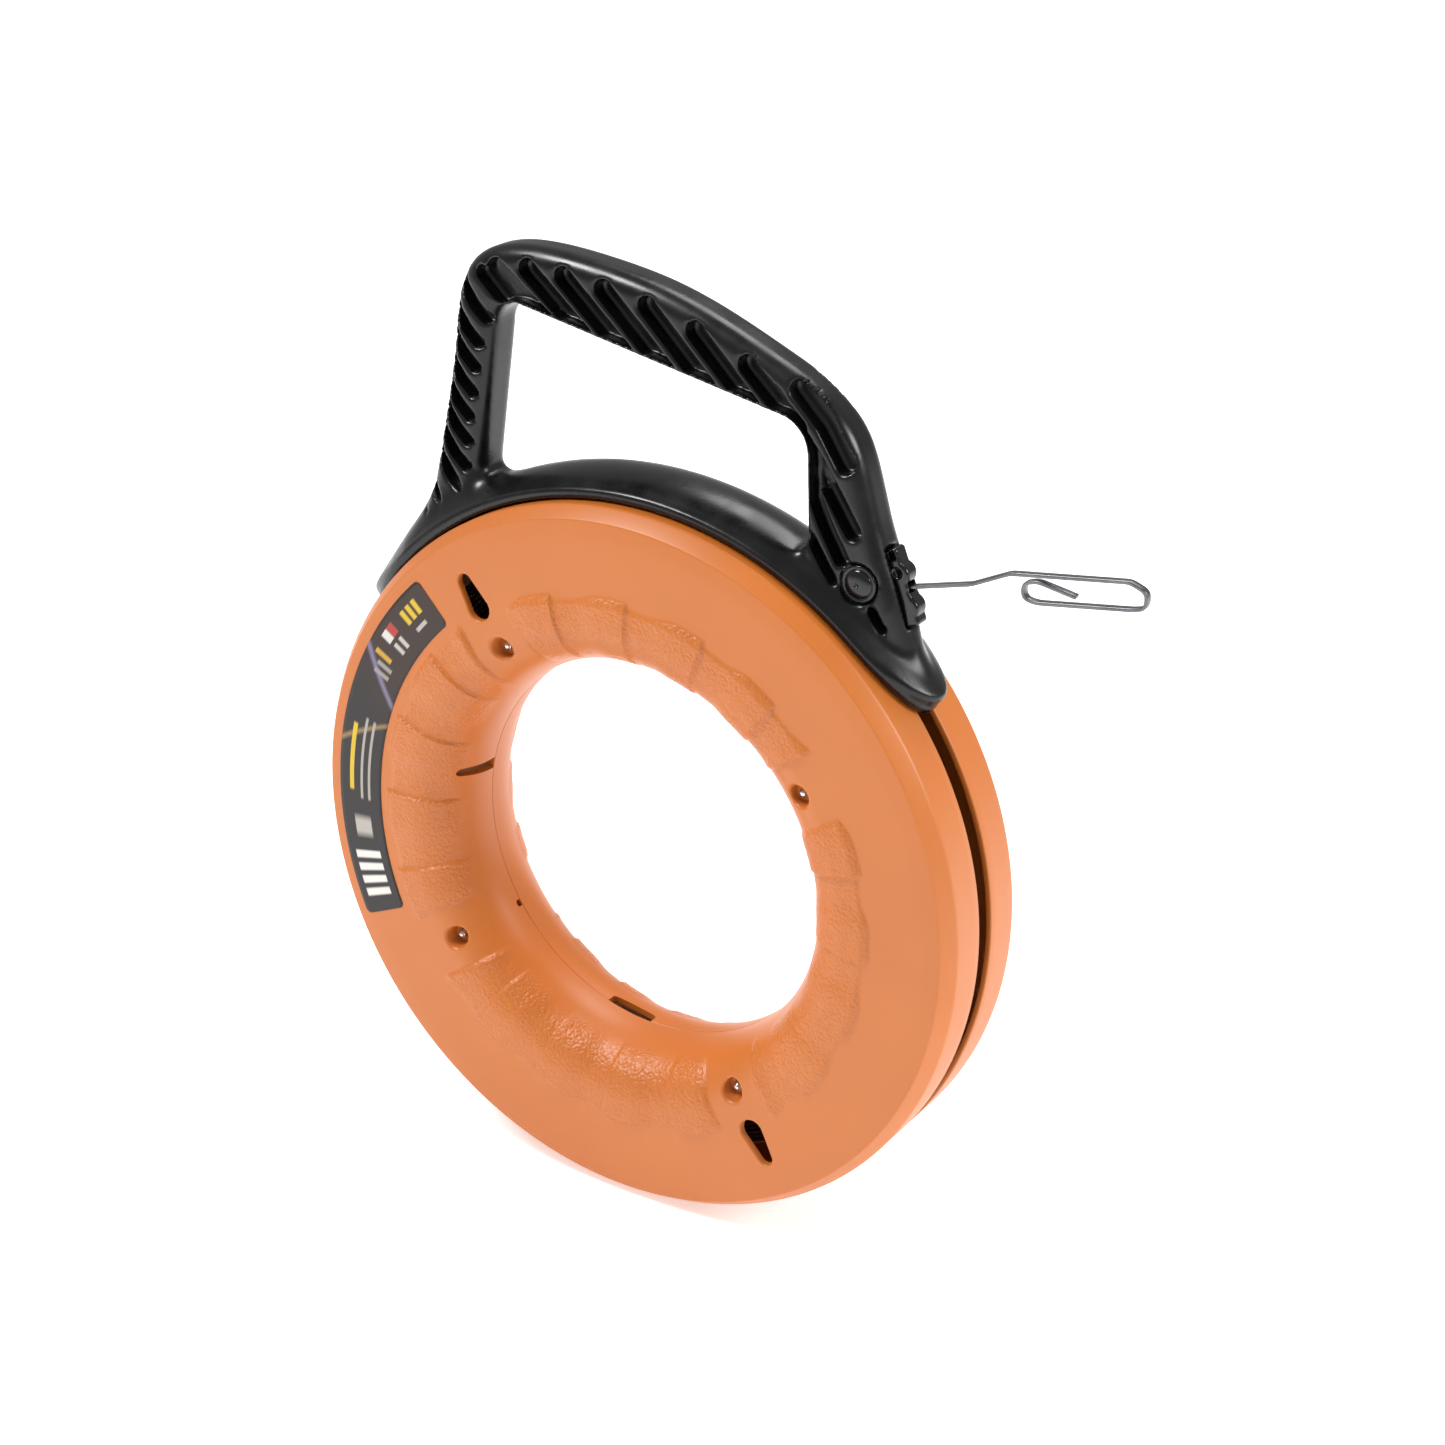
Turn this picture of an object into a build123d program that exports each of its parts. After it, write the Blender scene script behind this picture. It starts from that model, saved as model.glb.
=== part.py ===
from build123d import *
import os
from math import atan2, cos, degrees, radians, sin

# Fish tape reel, in millimetres. The reel turns about the Y axis, the front face looks along -Y and
# the handle stands up along +Z. The origin is the centre of the reel, on its axis and mid-plane.

# Case
case_radius = 152.5
face_level = 29.4            # flat face of each half, from the mid-plane
wall = 2.8
opening_radius = 84.0        # smallest radius of the hand opening
opening_band = 2.5           # straight band of each half beside the parting plane
slope_end_radius = 107.0     # where the round inner slope meets the flat face
crease_radius = 148.2        # outer edge of the flat face
bevel_depth = 7.1            # axial depth of the bevel beside the rim
rim_gap = 9.6                # open slot round the rim, between the halves
lip_depth = 6.3              # radial depth of the lip at each side of the rim gap
lip_thickness = 2.6
cut_margin = 4.0             # how far a cut runs past the surface that it opens

# Slots in the wall of the hand opening: angle, width and depth along Y
latch_slot = (168, 5.5, 20.0)
small_slot = (213, 3.0, 3.0)
rear_notch = (260, 22.0, 6.0)
latch_thickness = 1.6
latch_width = 4.6
latch_reach = 8.0            # how far the rear half's latch reaches into the front half
latch_root = 4.0

# Raised grip pads of the case
pad_height = 1.5
pad_radius = 118.0
pad_half_angle = 35.0
pad_fade = 0.375              # share of the inner slope over which a pad rises from nothing

# Case screws
screw_circle = 101.0
screw_angles = [33, 123, 213, 303]
screw_radius = 2.0
screw_tip_level = -25.0
boss_radius = 6.5
tip_recess_radius = 4.6
tip_recess_level = -22.0
head_radius = 4.0
head_height = 2.8
head_seat_level = 20.0
head_recess_radius = 5.0
head_round = 1.4
cross_length = 4.4
cross_width = 0.9
cross_depth = 1.3
thread_play = 0.05           # gap round a screw or rivet in the piece that it holds to
free_play = 0.2              # gap round one that turns or passes freely

# Teardrop windows
window_angles = [123, 303]
window_wide_radius = 5.0
window_narrow_radius = 2.3
window_inner = 119.0
window_outer = 132.0

# Wound tape
tape_width = 3.2
tape_thickness = 1.5
coil_inner = 114.5
coil_outer = 133.2
coil_half_width = 4.8
coil_round = 3.0
rib_angles = [10, 55, 100, 145, 190, 235, 280, 325]
rib_thickness = 2.4
rib_stop_inner = 133.5
rib_stop_outer = 136.0
rib_stop_level = 3.0
rib_inner = 110.5

# Handle
grip_half_width = 10.5
grip_outer_round = 6.0
saddle_inner = 153.3
saddle_crown = 163.3
saddle_edge_radius = 157.0
saddle_half_width = 18.5
saddle_start = 33.0
saddle_arc = 119.0
front_bow_angle = 50.0
front_bow_length = 38.2
rear_bow_angle = 134.0
rear_bow_length = 40.0
bow_reach = 300.0            # size of the block that trims each bow, past the far end of the saddle
bow_below = 60.0
foot_taper_start = 2.0       # past the bow angle the grip narrows from its full width
front_taper_end = 41.0
rear_taper_end = 43.0
foot_tip_half_width = 3.0
foot_taper_height = 45.0
web_half_width = 4.3
shoe_half_width = 8.5
shoe_inner = 140.0
shoe_outer = 145.8
shoe_start = 46.0
shoe_end = 140.0
shell_wall = 4.0             # smooth outer shell beside the grip pockets
inner_shell = 2.4            # smooth wall between the rear leg's pockets and the opening
mid_web = 2.0                # half thickness of the web between front and rear pockets

# Tape exit, guide and rivet
exit_point = (113.2, 137.5)
exit_angle = 14.0
channel_half_width = 2.3
channel_half_height = 1.9
channel_length = 100.0
channel_centre = -22.0       # along the tape, from the exit point
rivet_point = (98.6, 138.4)
rivet_shank_radius = 2.0
rivet_head_radius = 7.4
rivet_head_height = 2.8
rivet_seat = 8.6
boss_wall = 1.4
recess_play = 0.8

# Guide insert, in its own frame: x down along the ridge of the handle, y outwards
guide_origin = (106.6, 152.0)
guide_turn = -68.9
guide_half_width = 6.5
guide_length = 30.6
guide_height = 12.4
guide_centre = (15.5, -0.4)
guide_corner = 1.5
cutout_centre = (15.5, 0.5)
cutout_size = (31.0, 15.0)
eye_nose_centre = (10.5, 3.4)
eye_nose_radius = 6.0
low_nose_centre = (23.5, 2.6)
low_nose_radius = 6.6
eye_centre = (9.6, 2.4)
eye_radius = 2.6
square_centre = (2.9, 0.6)
square_size = (3.4, 6.0)
square_corner = 0.5
square_floor = 2.2           # half thickness left under the square pocket
tongue_half_width = 3.2
tongue_radius = 6.2
tongue_root = (105.5, 141.0)

# Sticker
label_inner = 121.0
label_outer = 143.0
label_start = 132.0
label_end = 203.0
label_thickness = 0.2
label_corner = 2.5


def polar(radius, angle):
    """A point of the XZ plane at a radius and an angle in degrees."""
    return (radius * cos(radians(angle)), radius * sin(radians(angle)))


def side_plane(level):
    """The plane at y = level, with x to the right and the second axis along +Z; its normal is -Y."""
    return Plane(origin=(0, level, 0), x_dir=(1, 0, 0), z_dir=(0, -1, 0))


def side_prism(face, low, high):
    """Extrudes a face drawn in XZ between y = low and y = high."""
    return extrude(side_plane(high) * face, amount=high - low)


def across(point, radius, low, high):
    """A round bar along Y at a point of the XZ plane."""
    return side_prism(Pos(point[0], point[1]) * Circle(radius), low, high)


def ring(section, start=0.0, arc=360.0):
    """Turns a section drawn as (radius, y) about the Y axis, over arc from angle start, counted from +X."""
    turned = revolve(section, Axis.Y, arc)
    return Rot(0, -(start + arc), 0) * turned if arc < 360 else turned


def slope_point(offset, share, fade=0.0):
    """A point (radius, y) of the round inner slope, moved outwards by offset; share runs 0 to 1 to the flat.

    The offset grows from nothing over the first part of the slope, as long as fade."""
    turn = radians(90 * share)
    offset *= min(1, share / fade) if fade else 1
    a = slope_end_radius - opening_radius
    b = face_level - opening_band
    return (slope_end_radius - (a + offset) * cos(turn), -opening_band - (b + offset) * sin(turn))


def slope_curve(offset, fade=0.0):
    return Spline(*[slope_point(offset, k / 8, fade) for k in range(9)], tangents=[(0, -1), (1, 0)])


def case_section():
    """The section of the front half as (radius, y): slope, flat face, bevel, rim and lip, one wall thick."""
    lip_level = -rim_gap / 2
    bevel_level = -face_level + bevel_depth
    inner_face = -face_level + wall
    outer = slope_curve(0)
    inner = slope_curve(-wall)
    rim = Polyline(
        outer @ 1,
        (crease_radius, -face_level),
        (case_radius, bevel_level),
        (case_radius, lip_level),
        (case_radius - lip_depth, lip_level),
        (case_radius - lip_depth, lip_level - lip_thickness),
        (case_radius - wall, lip_level - lip_thickness),
        (case_radius - wall, bevel_level + 1),
        (crease_radius - wall / 2, inner_face),
        inner @ 1,
    )
    parting = Polyline(inner @ 0, (opening_radius + wall, 0), (opening_radius, 0), outer @ 0)
    return make_face([outer, rim, inner, parting])


def pad_section():
    """The section of a grip pad as (radius, y), sunk a little into the wall that carries it."""
    top = slope_curve(pad_height, pad_fade)
    root = slope_curve(-wall / 2)
    cap = Polyline(
        top @ 1,
        (pad_radius - pad_height, -face_level - pad_height),
        (pad_radius, -face_level),
        (pad_radius, -face_level + wall / 2),
        root @ 1,
    )
    foot = Line(root @ 0, top @ 0)
    return make_face([top, cap, root, foot])


def rib_section():
    """The section of a coil rib as (radius, y), with the stop that keeps the turns from spreading."""
    root = -face_level + wall / 2
    return make_face(Polyline(
        (rib_inner, root),
        (rib_stop_outer, root),
        (rib_stop_outer, -rib_stop_level),
        (rib_stop_inner, -rib_stop_level),
        (rib_stop_inner, -coil_half_width),
        (rib_inner, -coil_half_width),
        close=True,
    ))


def window_prism(angle):
    """A teardrop through the front wall, wide end towards the axis."""
    wide = Pos(window_inner, 0) * Circle(window_wide_radius)
    narrow = Pos(window_outer, 0) * Circle(window_narrow_radius)
    shape = make_hull((wide + narrow).edges())
    return side_prism(Rot(0, 0, angle) * shape, -face_level - cut_margin, -face_level + wall + cut_margin)


def plain_half():
    """One half with everything that front and rear share, as the front half."""
    half = ring(case_section())
    for angle in screw_angles:
        start = angle + 45 - pad_half_angle
        half += ring(pad_section(), start, 2 * pad_half_angle)
    for angle in rib_angles:
        rib = extrude(rib_section(), amount=rib_thickness / 2, both=True)
        half += Rot(0, -angle, 0) * rib
    for angle in screw_angles:
        half += across(polar(screw_circle, angle), boss_radius, -face_level + wall, 0)
    return half


def opening_cut(slot, front):
    """A slot through the wall of the hand opening of the front or the rear half."""
    angle, width, depth = slot
    height = depth + 1
    level = (1 - depth) / 2 if front else (depth - 1) / 2
    block = Pos(opening_radius, level, 0) * Box(2 * (wall + 2 * cut_margin), height, width)
    return Rot(0, -angle, 0) * block


def build_front_cover():
    half = plain_half()
    for angle in screw_angles:
        centre = polar(screw_circle, angle)
        half -= across(centre, tip_recess_radius, -face_level - cut_margin, tip_recess_level)
        half -= across(centre, screw_radius + thread_play, tip_recess_level - 1, 1)
    for angle in window_angles:
        half -= window_prism(angle)
    half -= opening_cut(latch_slot, True)
    half -= opening_cut(small_slot, True)
    return half


def build_rear_cover():
    """The rear half, with a latch tab that stands in the slot of the front half."""
    half = mirror(plain_half(), Plane.XZ)
    for angle in screw_angles:
        centre = polar(screw_circle, angle)
        half -= across(centre, head_recess_radius, head_seat_level, face_level + cut_margin)
        half -= across(centre, screw_radius + free_play, -1, head_seat_level + 1)
    half -= opening_cut(rear_notch, False)
    latch = Pos(opening_radius + wall + free_play, (latch_root - latch_reach) / 2, 0)
    latch *= Box(latch_thickness, latch_root + latch_reach, latch_width)
    half += Rot(0, -latch_slot[0], 0) * latch
    return half


def build_case_screws():
    """Four pan-head screws from the rear, tips standing in the front recesses."""
    screws = []
    for angle in screw_angles:
        centre = polar(screw_circle, angle)
        shank = across(centre, screw_radius, screw_tip_level, head_seat_level)
        head = across(centre, head_radius, head_seat_level, head_seat_level + head_height)
        head = fillet(head.edges().group_by(Axis.Y)[-1], head_round)
        screw = shank + head
        for turn in (0, 90):
            cross = Rot(0, turn, 0) * Box(cross_length, 2 * cross_depth, cross_width)
            screw -= Pos(centre[0], head_seat_level + head_height, centre[1]) * cross
        screws.append(screw.solid())
    return Compound(screws)


def build_tape_coil():
    width = coil_outer - coil_inner
    centre = (coil_inner + width / 2, 0)
    return ring(Pos(*centre) * RectangleRounded(width, 2 * coil_half_width, coil_round))


def build_label():
    """The sector sticker on the left of the front face."""
    span = label_end - label_start
    band = make_face([
        CenterArc((0, 0), label_inner, label_start, span),
        CenterArc((0, 0), label_outer, label_start, span),
        Line(polar(label_inner, label_start), polar(label_outer, label_start)),
        Line(polar(label_inner, label_end), polar(label_outer, label_end)),
    ])
    band = fillet(band.vertices(), label_corner)
    return side_prism(band, -face_level - label_thickness, -face_level)


# Side outline of the handle, from the rear tip of the saddle over the grip to the front tip
rear_leg_outline = [(-131, 86), (-117.5, 111), (-105.5, 134), (-97, 166), (-90, 200), (-86.5, 221)]
grip_outline = [(-78, 237), (-62, 244), (-46, 245), (-18, 242.5), (9, 237.5), (36, 228.5), (58, 219)]
front_leg_outline = [(75, 210.5), (87, 201), (94.5, 191), (98.8, 180), (104.5, 160), (110.5, 143)]
prow_outline = [(116, 127.5), (121.5, 112), (126.5, 98)]

# Grip pockets. Places on the outer edge are shares of its length; the rest is in millimetres.
bar_pocket_count = 7
bar_pocket_width = 7.4
bar_pocket_first = 0.405
bar_pocket_step = 0.0335
bar_pocket_growth = 0.0023
bar_pocket_low_first = 25.5
bar_pocket_low_step = 18.4
leg_pocket_count = 9
leg_pocket_width = 5.2
leg_pocket_first = -6.0
leg_pocket_step = 9.6
leg_pocket_angle = 54.0
leg_pocket_length = 34.0
# Pockets of the corner and of the front leg: both ends and the width
single_pockets = [
    ((-72, 232.5), (-55, 219), 5.6),
    ((73, 208.5), (91, 183), 7.0),
    ((70, 194), (97.5, 158), 6.4),
    ((80, 181), (91.5, 151), 6.0),
    ((105, 128), (109, 121.5), 4.0),
]

# Corners of the grip opening and the radius of each
opening_top_rear = ((-66.5, 224), 12)
opening_top_front = ((75, 195.3), 14)
opening_low_front = ((76.5, 144.4), 9)
opening_low_rear = ((-78.5, 143.2), 7)


def grip_opening():
    """The grip opening, closed below by the crown of the saddle."""
    corners = [opening_top_rear, opening_top_front, opening_low_front, opening_low_rear]
    points = [corner[0] for corner in corners]
    sides = Polyline(points[3], points[0], points[1], points[2])
    crown = ThreePointArc(points[2], (0, saddle_crown), points[3])
    face = make_face([sides, crown])
    for point, radius in corners:
        near = face.vertices().sort_by_distance(Vector(point[0], point[1], 0))[0]
        face = fillet(near, radius)
    return face


def handle_spine():
    """The outer edge of the handle, from the rear tip over the grip to the front tip."""
    return Spline(*(rear_leg_outline + grip_outline + front_leg_outline + prow_outline))


def close_below(edge):
    """Closes an outer edge along the inside of the saddle."""
    low = saddle_inner + 1.5
    start_angle = degrees(atan2((edge @ 0).Y, (edge @ 0).X)) - 0.6
    end_angle = degrees(atan2((edge @ 1).Y, (edge @ 1).X)) + 0.6
    front = polar(low, end_angle)
    rear = polar(low, start_angle)
    under = ThreePointArc(front, (0, low), rear)
    return make_face([edge, Line(edge @ 1, front), under, Line(rear, edge @ 0)])


def foot_frame(angle):
    """A frame on the reel's axis at an angle: x towards the front along the rim, z outwards."""
    outward = Vector(cos(radians(angle)), 0, sin(radians(angle)))
    return Plane(origin=(0, 0, 0), x_dir=(outward.Z, 0, -outward.X), z_dir=outward)


def saddle():
    """The barrel-shaped band over the rim, with an elliptical bow at each end, like a boat."""
    crown = ThreePointArc(
        (saddle_edge_radius, -saddle_half_width), (saddle_crown, 0), (saddle_edge_radius, saddle_half_width))
    base = Polyline(
        crown @ 1, (saddle_inner, saddle_half_width), (saddle_inner, -saddle_half_width), crown @ 0)
    band = ring(make_face([crown, base]), saddle_start, saddle_arc)
    bows = [(front_bow_angle, front_bow_length, 1), (rear_bow_angle, rear_bow_length, -1)]
    for angle, length, side in bows:
        middle = Pos(-side * bow_reach / 2, 0) * Rectangle(bow_reach, 2 * saddle_half_width)
        bow = Ellipse(length, saddle_half_width) + middle
        band = band & (foot_frame(angle) * Pos(0, 0, -bow_below) * extrude(bow, amount=bow_reach))
    return band


def foot_taper(angle, side, length):
    """The two wedges that narrow a foot of the handle towards the tip of the saddle."""
    wide = grip_half_width + foot_taper_start
    start = side * foot_taper_start
    wedge = make_face(Polyline(
        (start, grip_half_width), (side * length, foot_tip_half_width), (side * length, wide), (start, wide),
        close=True))
    both = wedge + mirror(wedge, Plane.XZ)
    return foot_frame(angle) * Pos(0, 0, shoe_outer) * extrude(both, amount=foot_taper_height)


def pocket(start, end, width):
    """One grip pocket, a slot with round ends between two points of the side view."""
    run = Vector(*end) - Vector(*start)
    middle = (Vector(*start) + Vector(*end)) / 2
    slot = SlotCenterToCenter(run.length, width)
    return Pos(middle.X, middle.Y) * Rot(0, 0, degrees(atan2(run.Y, run.X))) * slot


def bar_pockets():
    """Pockets of the top bar: closed under the outer shell and open at the underside."""
    spine = handle_spine()
    rear, front = Vector(*opening_top_rear[0]), Vector(*opening_top_front[0])
    underside = (front - rear).normalized()
    slots = []
    for k in range(bar_pocket_count):
        place = bar_pocket_first + bar_pocket_step * k + bar_pocket_growth * k * k
        along = spine % place
        top = (spine @ place) + Vector(along.Y, -along.X) * (shell_wall + bar_pocket_width / 2)
        bottom = rear + underside * (bar_pocket_low_first + bar_pocket_low_step * k)
        slots.append(pocket((top.X, top.Y), (bottom.X, bottom.Y - 1), bar_pocket_width))
    return slots


def leg_pockets():
    """Pockets of the rear leg: closed beside the opening and open at the outer edge."""
    low, high = Vector(*opening_low_rear[0]), Vector(*opening_top_rear[0])
    up = (high - low).normalized()
    inward = Vector(-up.Y, up.X) * (inner_shell + leg_pocket_width / 2)
    slots = []
    for k in range(leg_pocket_count):
        inner = low + up * (leg_pocket_first + leg_pocket_step * k) + inward
        turn = radians(180 - leg_pocket_angle)
        outer = inner + Vector(cos(turn), sin(turn)) * leg_pocket_length
        slots.append(pocket((inner.X, inner.Y), (outer.X, outer.Y), leg_pocket_width))
    return slots


def pocket_cutters():
    """Every grip pocket of one side, as one sketch."""
    slots = bar_pockets() + leg_pockets()
    slots += [pocket(start, end, width) for start, end, width in single_pockets]
    return Sketch() + slots


def guide_plane():
    return Location((*guide_origin, 0), (0, 0, guide_turn))


def tongue_outline(play=0.0):
    """The tongue of the guide that the rivet goes through."""
    end = Pos(*rivet_point) * Circle(tongue_radius + play)
    root = Pos(*tongue_root) * Circle(tongue_radius + play)
    return make_hull((end + root).edges())


def tape_channel():
    """The straight passage of the tape through the shoe, the leg and the guide."""
    run = Rectangle(channel_length, 2 * channel_half_height)
    run = Pos(*exit_point) * Rot(0, 0, exit_angle) * Pos(channel_centre, 0) * run
    return side_prism(run, -channel_half_width, channel_half_width)


def build_handle():
    outline = close_below(handle_spine())
    grip = side_prism(outline, -grip_half_width, grip_half_width)
    grip = fillet(grip.edges().filter_by(GeomType.BSPLINE), grip_outer_round)
    past = grip_half_width + 1
    grip -= side_prism(grip_opening(), -past, past)
    grip -= foot_taper(front_bow_angle, 1, front_taper_end)
    grip -= foot_taper(rear_bow_angle, -1, rear_taper_end)
    pockets = pocket_cutters()
    grip -= side_prism(pockets, -past, -mid_web)
    grip -= side_prism(pockets, mid_web, past)
    body = grip + saddle()
    body += across(rivet_point, rivet_head_radius + boss_wall, -rivet_seat, rivet_seat)
    body -= across(rivet_point, rivet_head_radius + recess_play, -past, -rivet_seat)
    body -= across(rivet_point, rivet_head_radius + recess_play, rivet_seat, past)
    web_height = saddle_inner - shoe_outer + 1.5
    web = Pos(shoe_outer + web_height / 2 - 0.5, 0) * Rectangle(web_height, 2 * web_half_width)
    shoe = Pos((shoe_inner + shoe_outer) / 2, 0) * Rectangle(shoe_outer - shoe_inner, 2 * shoe_half_width)
    body += ring(web + shoe, shoe_start, shoe_end - shoe_start)
    cutout = guide_plane() * Pos(*cutout_centre) * Rectangle(*cutout_size)
    body -= side_prism(cutout, -past, past)
    tongue_room = tongue_half_width + free_play / 2
    body -= side_prism(tongue_outline(free_play), -tongue_room, tongue_room)
    body -= across(rivet_point, rivet_shank_radius + thread_play, -past, past)
    body -= tape_channel()
    return body


def build_tape_guide():
    """The guide insert: a block with a square pocket, a round eye, the tape slot and a round lower nose."""
    block = Pos(*guide_centre) * RectangleRounded(guide_length, guide_height, guide_corner)
    outline = block + Pos(*eye_nose_centre) * Circle(eye_nose_radius)
    outline += Pos(*low_nose_centre) * Circle(low_nose_radius)
    body = side_prism(guide_plane() * outline, -guide_half_width, guide_half_width)
    body += side_prism(tongue_outline(), -tongue_half_width, tongue_half_width)
    past = guide_half_width + 1
    eye = guide_plane() * Pos(*eye_centre) * Circle(eye_radius)
    body -= side_prism(eye, -past, past)
    square = guide_plane() * Pos(*square_centre) * RectangleRounded(*square_size, square_corner)
    body -= side_prism(square, -past, -square_floor)
    body -= side_prism(square, square_floor, past)
    body -= across(rivet_point, rivet_shank_radius + thread_play, -rivet_seat, rivet_seat)
    body -= tape_channel()
    return body


def rivet_head(side):
    """A dome head on the boss; side is -1 at the front and 1 at the rear."""
    low, high = sorted((side * rivet_seat, side * (rivet_seat + rivet_head_height)))
    head = across(rivet_point, rivet_head_radius, low, high)
    rim = head.edges().group_by(Axis.Y)[-1 if side > 0 else 0]
    return fillet(rim, rivet_head_height - 0.4)


def build_guide_rivet():
    return rivet_head(-1) + across(rivet_point, rivet_shank_radius, -rivet_seat, rivet_seat)


def build_guide_rivet_cap():
    return rivet_head(1)


def build_tape_leader():
    """The straight end of the tape and the hook bent from it, as one flat strip on edge."""
    along = Vector(cos(radians(exit_angle)), sin(radians(exit_angle)))
    tail = Vector(*exit_point) - along * 36
    first_bend = Vector(*exit_point) + along * 28.5
    points = [
        (tail.X, tail.Y), (first_bend.X, first_bend.Y), (156.5, 151.8), (203.5, 158.2), (210.4, 155.6),
        (210.2, 149.4), (204.5, 148.0), (168, 142.8), (162.2, 143.3), (162.0, 149.6), (168, 151.0),
        (183, 148.2),
    ]
    path = FilletPolyline(*points, radius=2.6)
    strip = trace(path, line_width=tape_thickness)
    return side_prism(strip, -tape_width / 2, tape_width / 2)


def main():
    nodes = {
        "front_cover": build_front_cover,
        "rear_cover": build_rear_cover,
        "case_screws": build_case_screws,
        "tape_coil": build_tape_coil,
        "label": build_label,
        "handle": build_handle,
        "tape_guide": build_tape_guide,
        "guide_rivet": build_guide_rivet,
        "guide_rivet_cap": build_guide_rivet_cap,
        "tape_leader": build_tape_leader,
    }
    os.makedirs("parts", exist_ok=True)
    for name, build in nodes.items():
        export_step(build(), f"parts/{name}.step")
        print(name)


main()
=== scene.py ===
import math
import bpy
import mathutils
import numpy as np
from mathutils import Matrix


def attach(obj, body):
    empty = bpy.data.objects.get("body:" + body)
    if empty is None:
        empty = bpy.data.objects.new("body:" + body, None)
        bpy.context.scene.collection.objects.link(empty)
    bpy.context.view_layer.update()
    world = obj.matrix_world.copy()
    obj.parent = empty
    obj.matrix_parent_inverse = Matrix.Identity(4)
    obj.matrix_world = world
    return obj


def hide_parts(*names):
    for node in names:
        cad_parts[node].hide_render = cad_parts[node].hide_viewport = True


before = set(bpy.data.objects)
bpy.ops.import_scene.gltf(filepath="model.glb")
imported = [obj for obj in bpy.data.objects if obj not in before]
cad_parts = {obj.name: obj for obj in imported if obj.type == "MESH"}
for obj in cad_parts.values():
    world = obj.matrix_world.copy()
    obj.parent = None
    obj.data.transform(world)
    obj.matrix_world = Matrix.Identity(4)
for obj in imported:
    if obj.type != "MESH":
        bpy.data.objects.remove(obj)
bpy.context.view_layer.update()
print("frame loaded:", len(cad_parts), "nodes")

mm = 0.001        # shapes are worked out in millimetres and stored in metres
fullTurn = 2 * math.pi

camera = dict(azimuth=34.34, elevation=26.37, distance=1.1505, lens=69.68, aim=(0.03247, 0.0, 0.06306),
              sensor=36, farthest=30)
studio = dict(floorLevel=-0.1526, floorSize=40.0, floorColor="#FAFAFA", floorGlow=0.5,
              skyColor="#FFFFFF", skyStrength=0.44)
# each lamp: direction it comes from (azimuth, elevation), distance, size, watts
lamps = dict(
    key=(-48, 56, 2.2, 0.7, 40.0),
    side=(100, 30, 2.2, 0.9, 30.0),
    back=(-175, 62, 2.2, 1.1, 20.0),
)


# sRGB hex to linear red, green, blue and alpha 1
def linear(hexText):
    values = [int(hexText[i:i + 2], 16) / 255 for i in (1, 3, 5)]
    return tuple(v / 12.92 if v <= 0.04045 else ((v + 0.055) / 1.055) ** 2.4 for v in values) + (1.0,)


# adds a node, applies its settings, and sets or links each named input
def addNode(tree, kind, inputs=None, **settings):
    new = tree.nodes.new(kind)
    for name, value in settings.items():
        setattr(new, name, value)
    for name, value in (inputs or {}).items():
        socket = new.inputs[name]
        if isinstance(value, bpy.types.NodeSocket):
            tree.links.new(value, socket)
        else:
            socket.default_value = value
    return new


# an empty node material, with the place on the object that its patterns read
def newMaterial(name):
    material = bpy.data.materials.new(name)
    material.use_nodes = True
    tree = material.node_tree
    tree.nodes.clear()
    place = addNode(tree, "ShaderNodeTexCoord").outputs["Object"]
    return material, tree, place


# a noise pattern whose features are about one size across, in millimetres
def noisePattern(tree, place, size, detail=2.0):
    return addNode(tree, "ShaderNodeTexNoise", {"Vector": place, "Scale": 1 / (size * mm), "Detail": detail})


# the normal of a surface that a height raises by a distance in millimetres
def bumpNormal(tree, height, distance, **under):
    inputs = {"Height": height, "Distance": distance * mm, **under}
    return addNode(tree, "ShaderNodeBump", inputs).outputs["Normal"]


# a blend of two colours by a factor
def mixColors(tree, factor, a, b):
    mix = addNode(tree, "ShaderNodeMix", {"Factor": factor, "A": a, "B": b}, data_type="RGBA")
    return mix.outputs["Result"]


# gives a material its shader, with the inputs named, and joins it to the output
def finishMaterial(material, inputs):
    tree = material.node_tree
    shader = addNode(tree, "ShaderNodeBsdfPrincipled", inputs)
    addNode(tree, "ShaderNodeOutputMaterial", {"Surface": shader.outputs["BSDF"]})
    return material


# direction from the object towards a point at an azimuth and an elevation, azimuth 0 being the front
def toward(azimuth, elevation):
    a, e = math.radians(azimuth), math.radians(elevation)
    return np.array([math.sin(a) * math.cos(e), -math.cos(a) * math.cos(e), math.sin(e)])


# places an object that looks along its own -Z at a distance from the origin, facing the aim point
def aimAt(thing, direction, distance):
    place = mathutils.Vector(direction) * distance
    thing.location = place
    thing.rotation_euler = (mathutils.Vector(camera["aim"]) - place).to_track_quat("-Z", "Y").to_euler()
    bpy.context.scene.collection.objects.link(thing)


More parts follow.
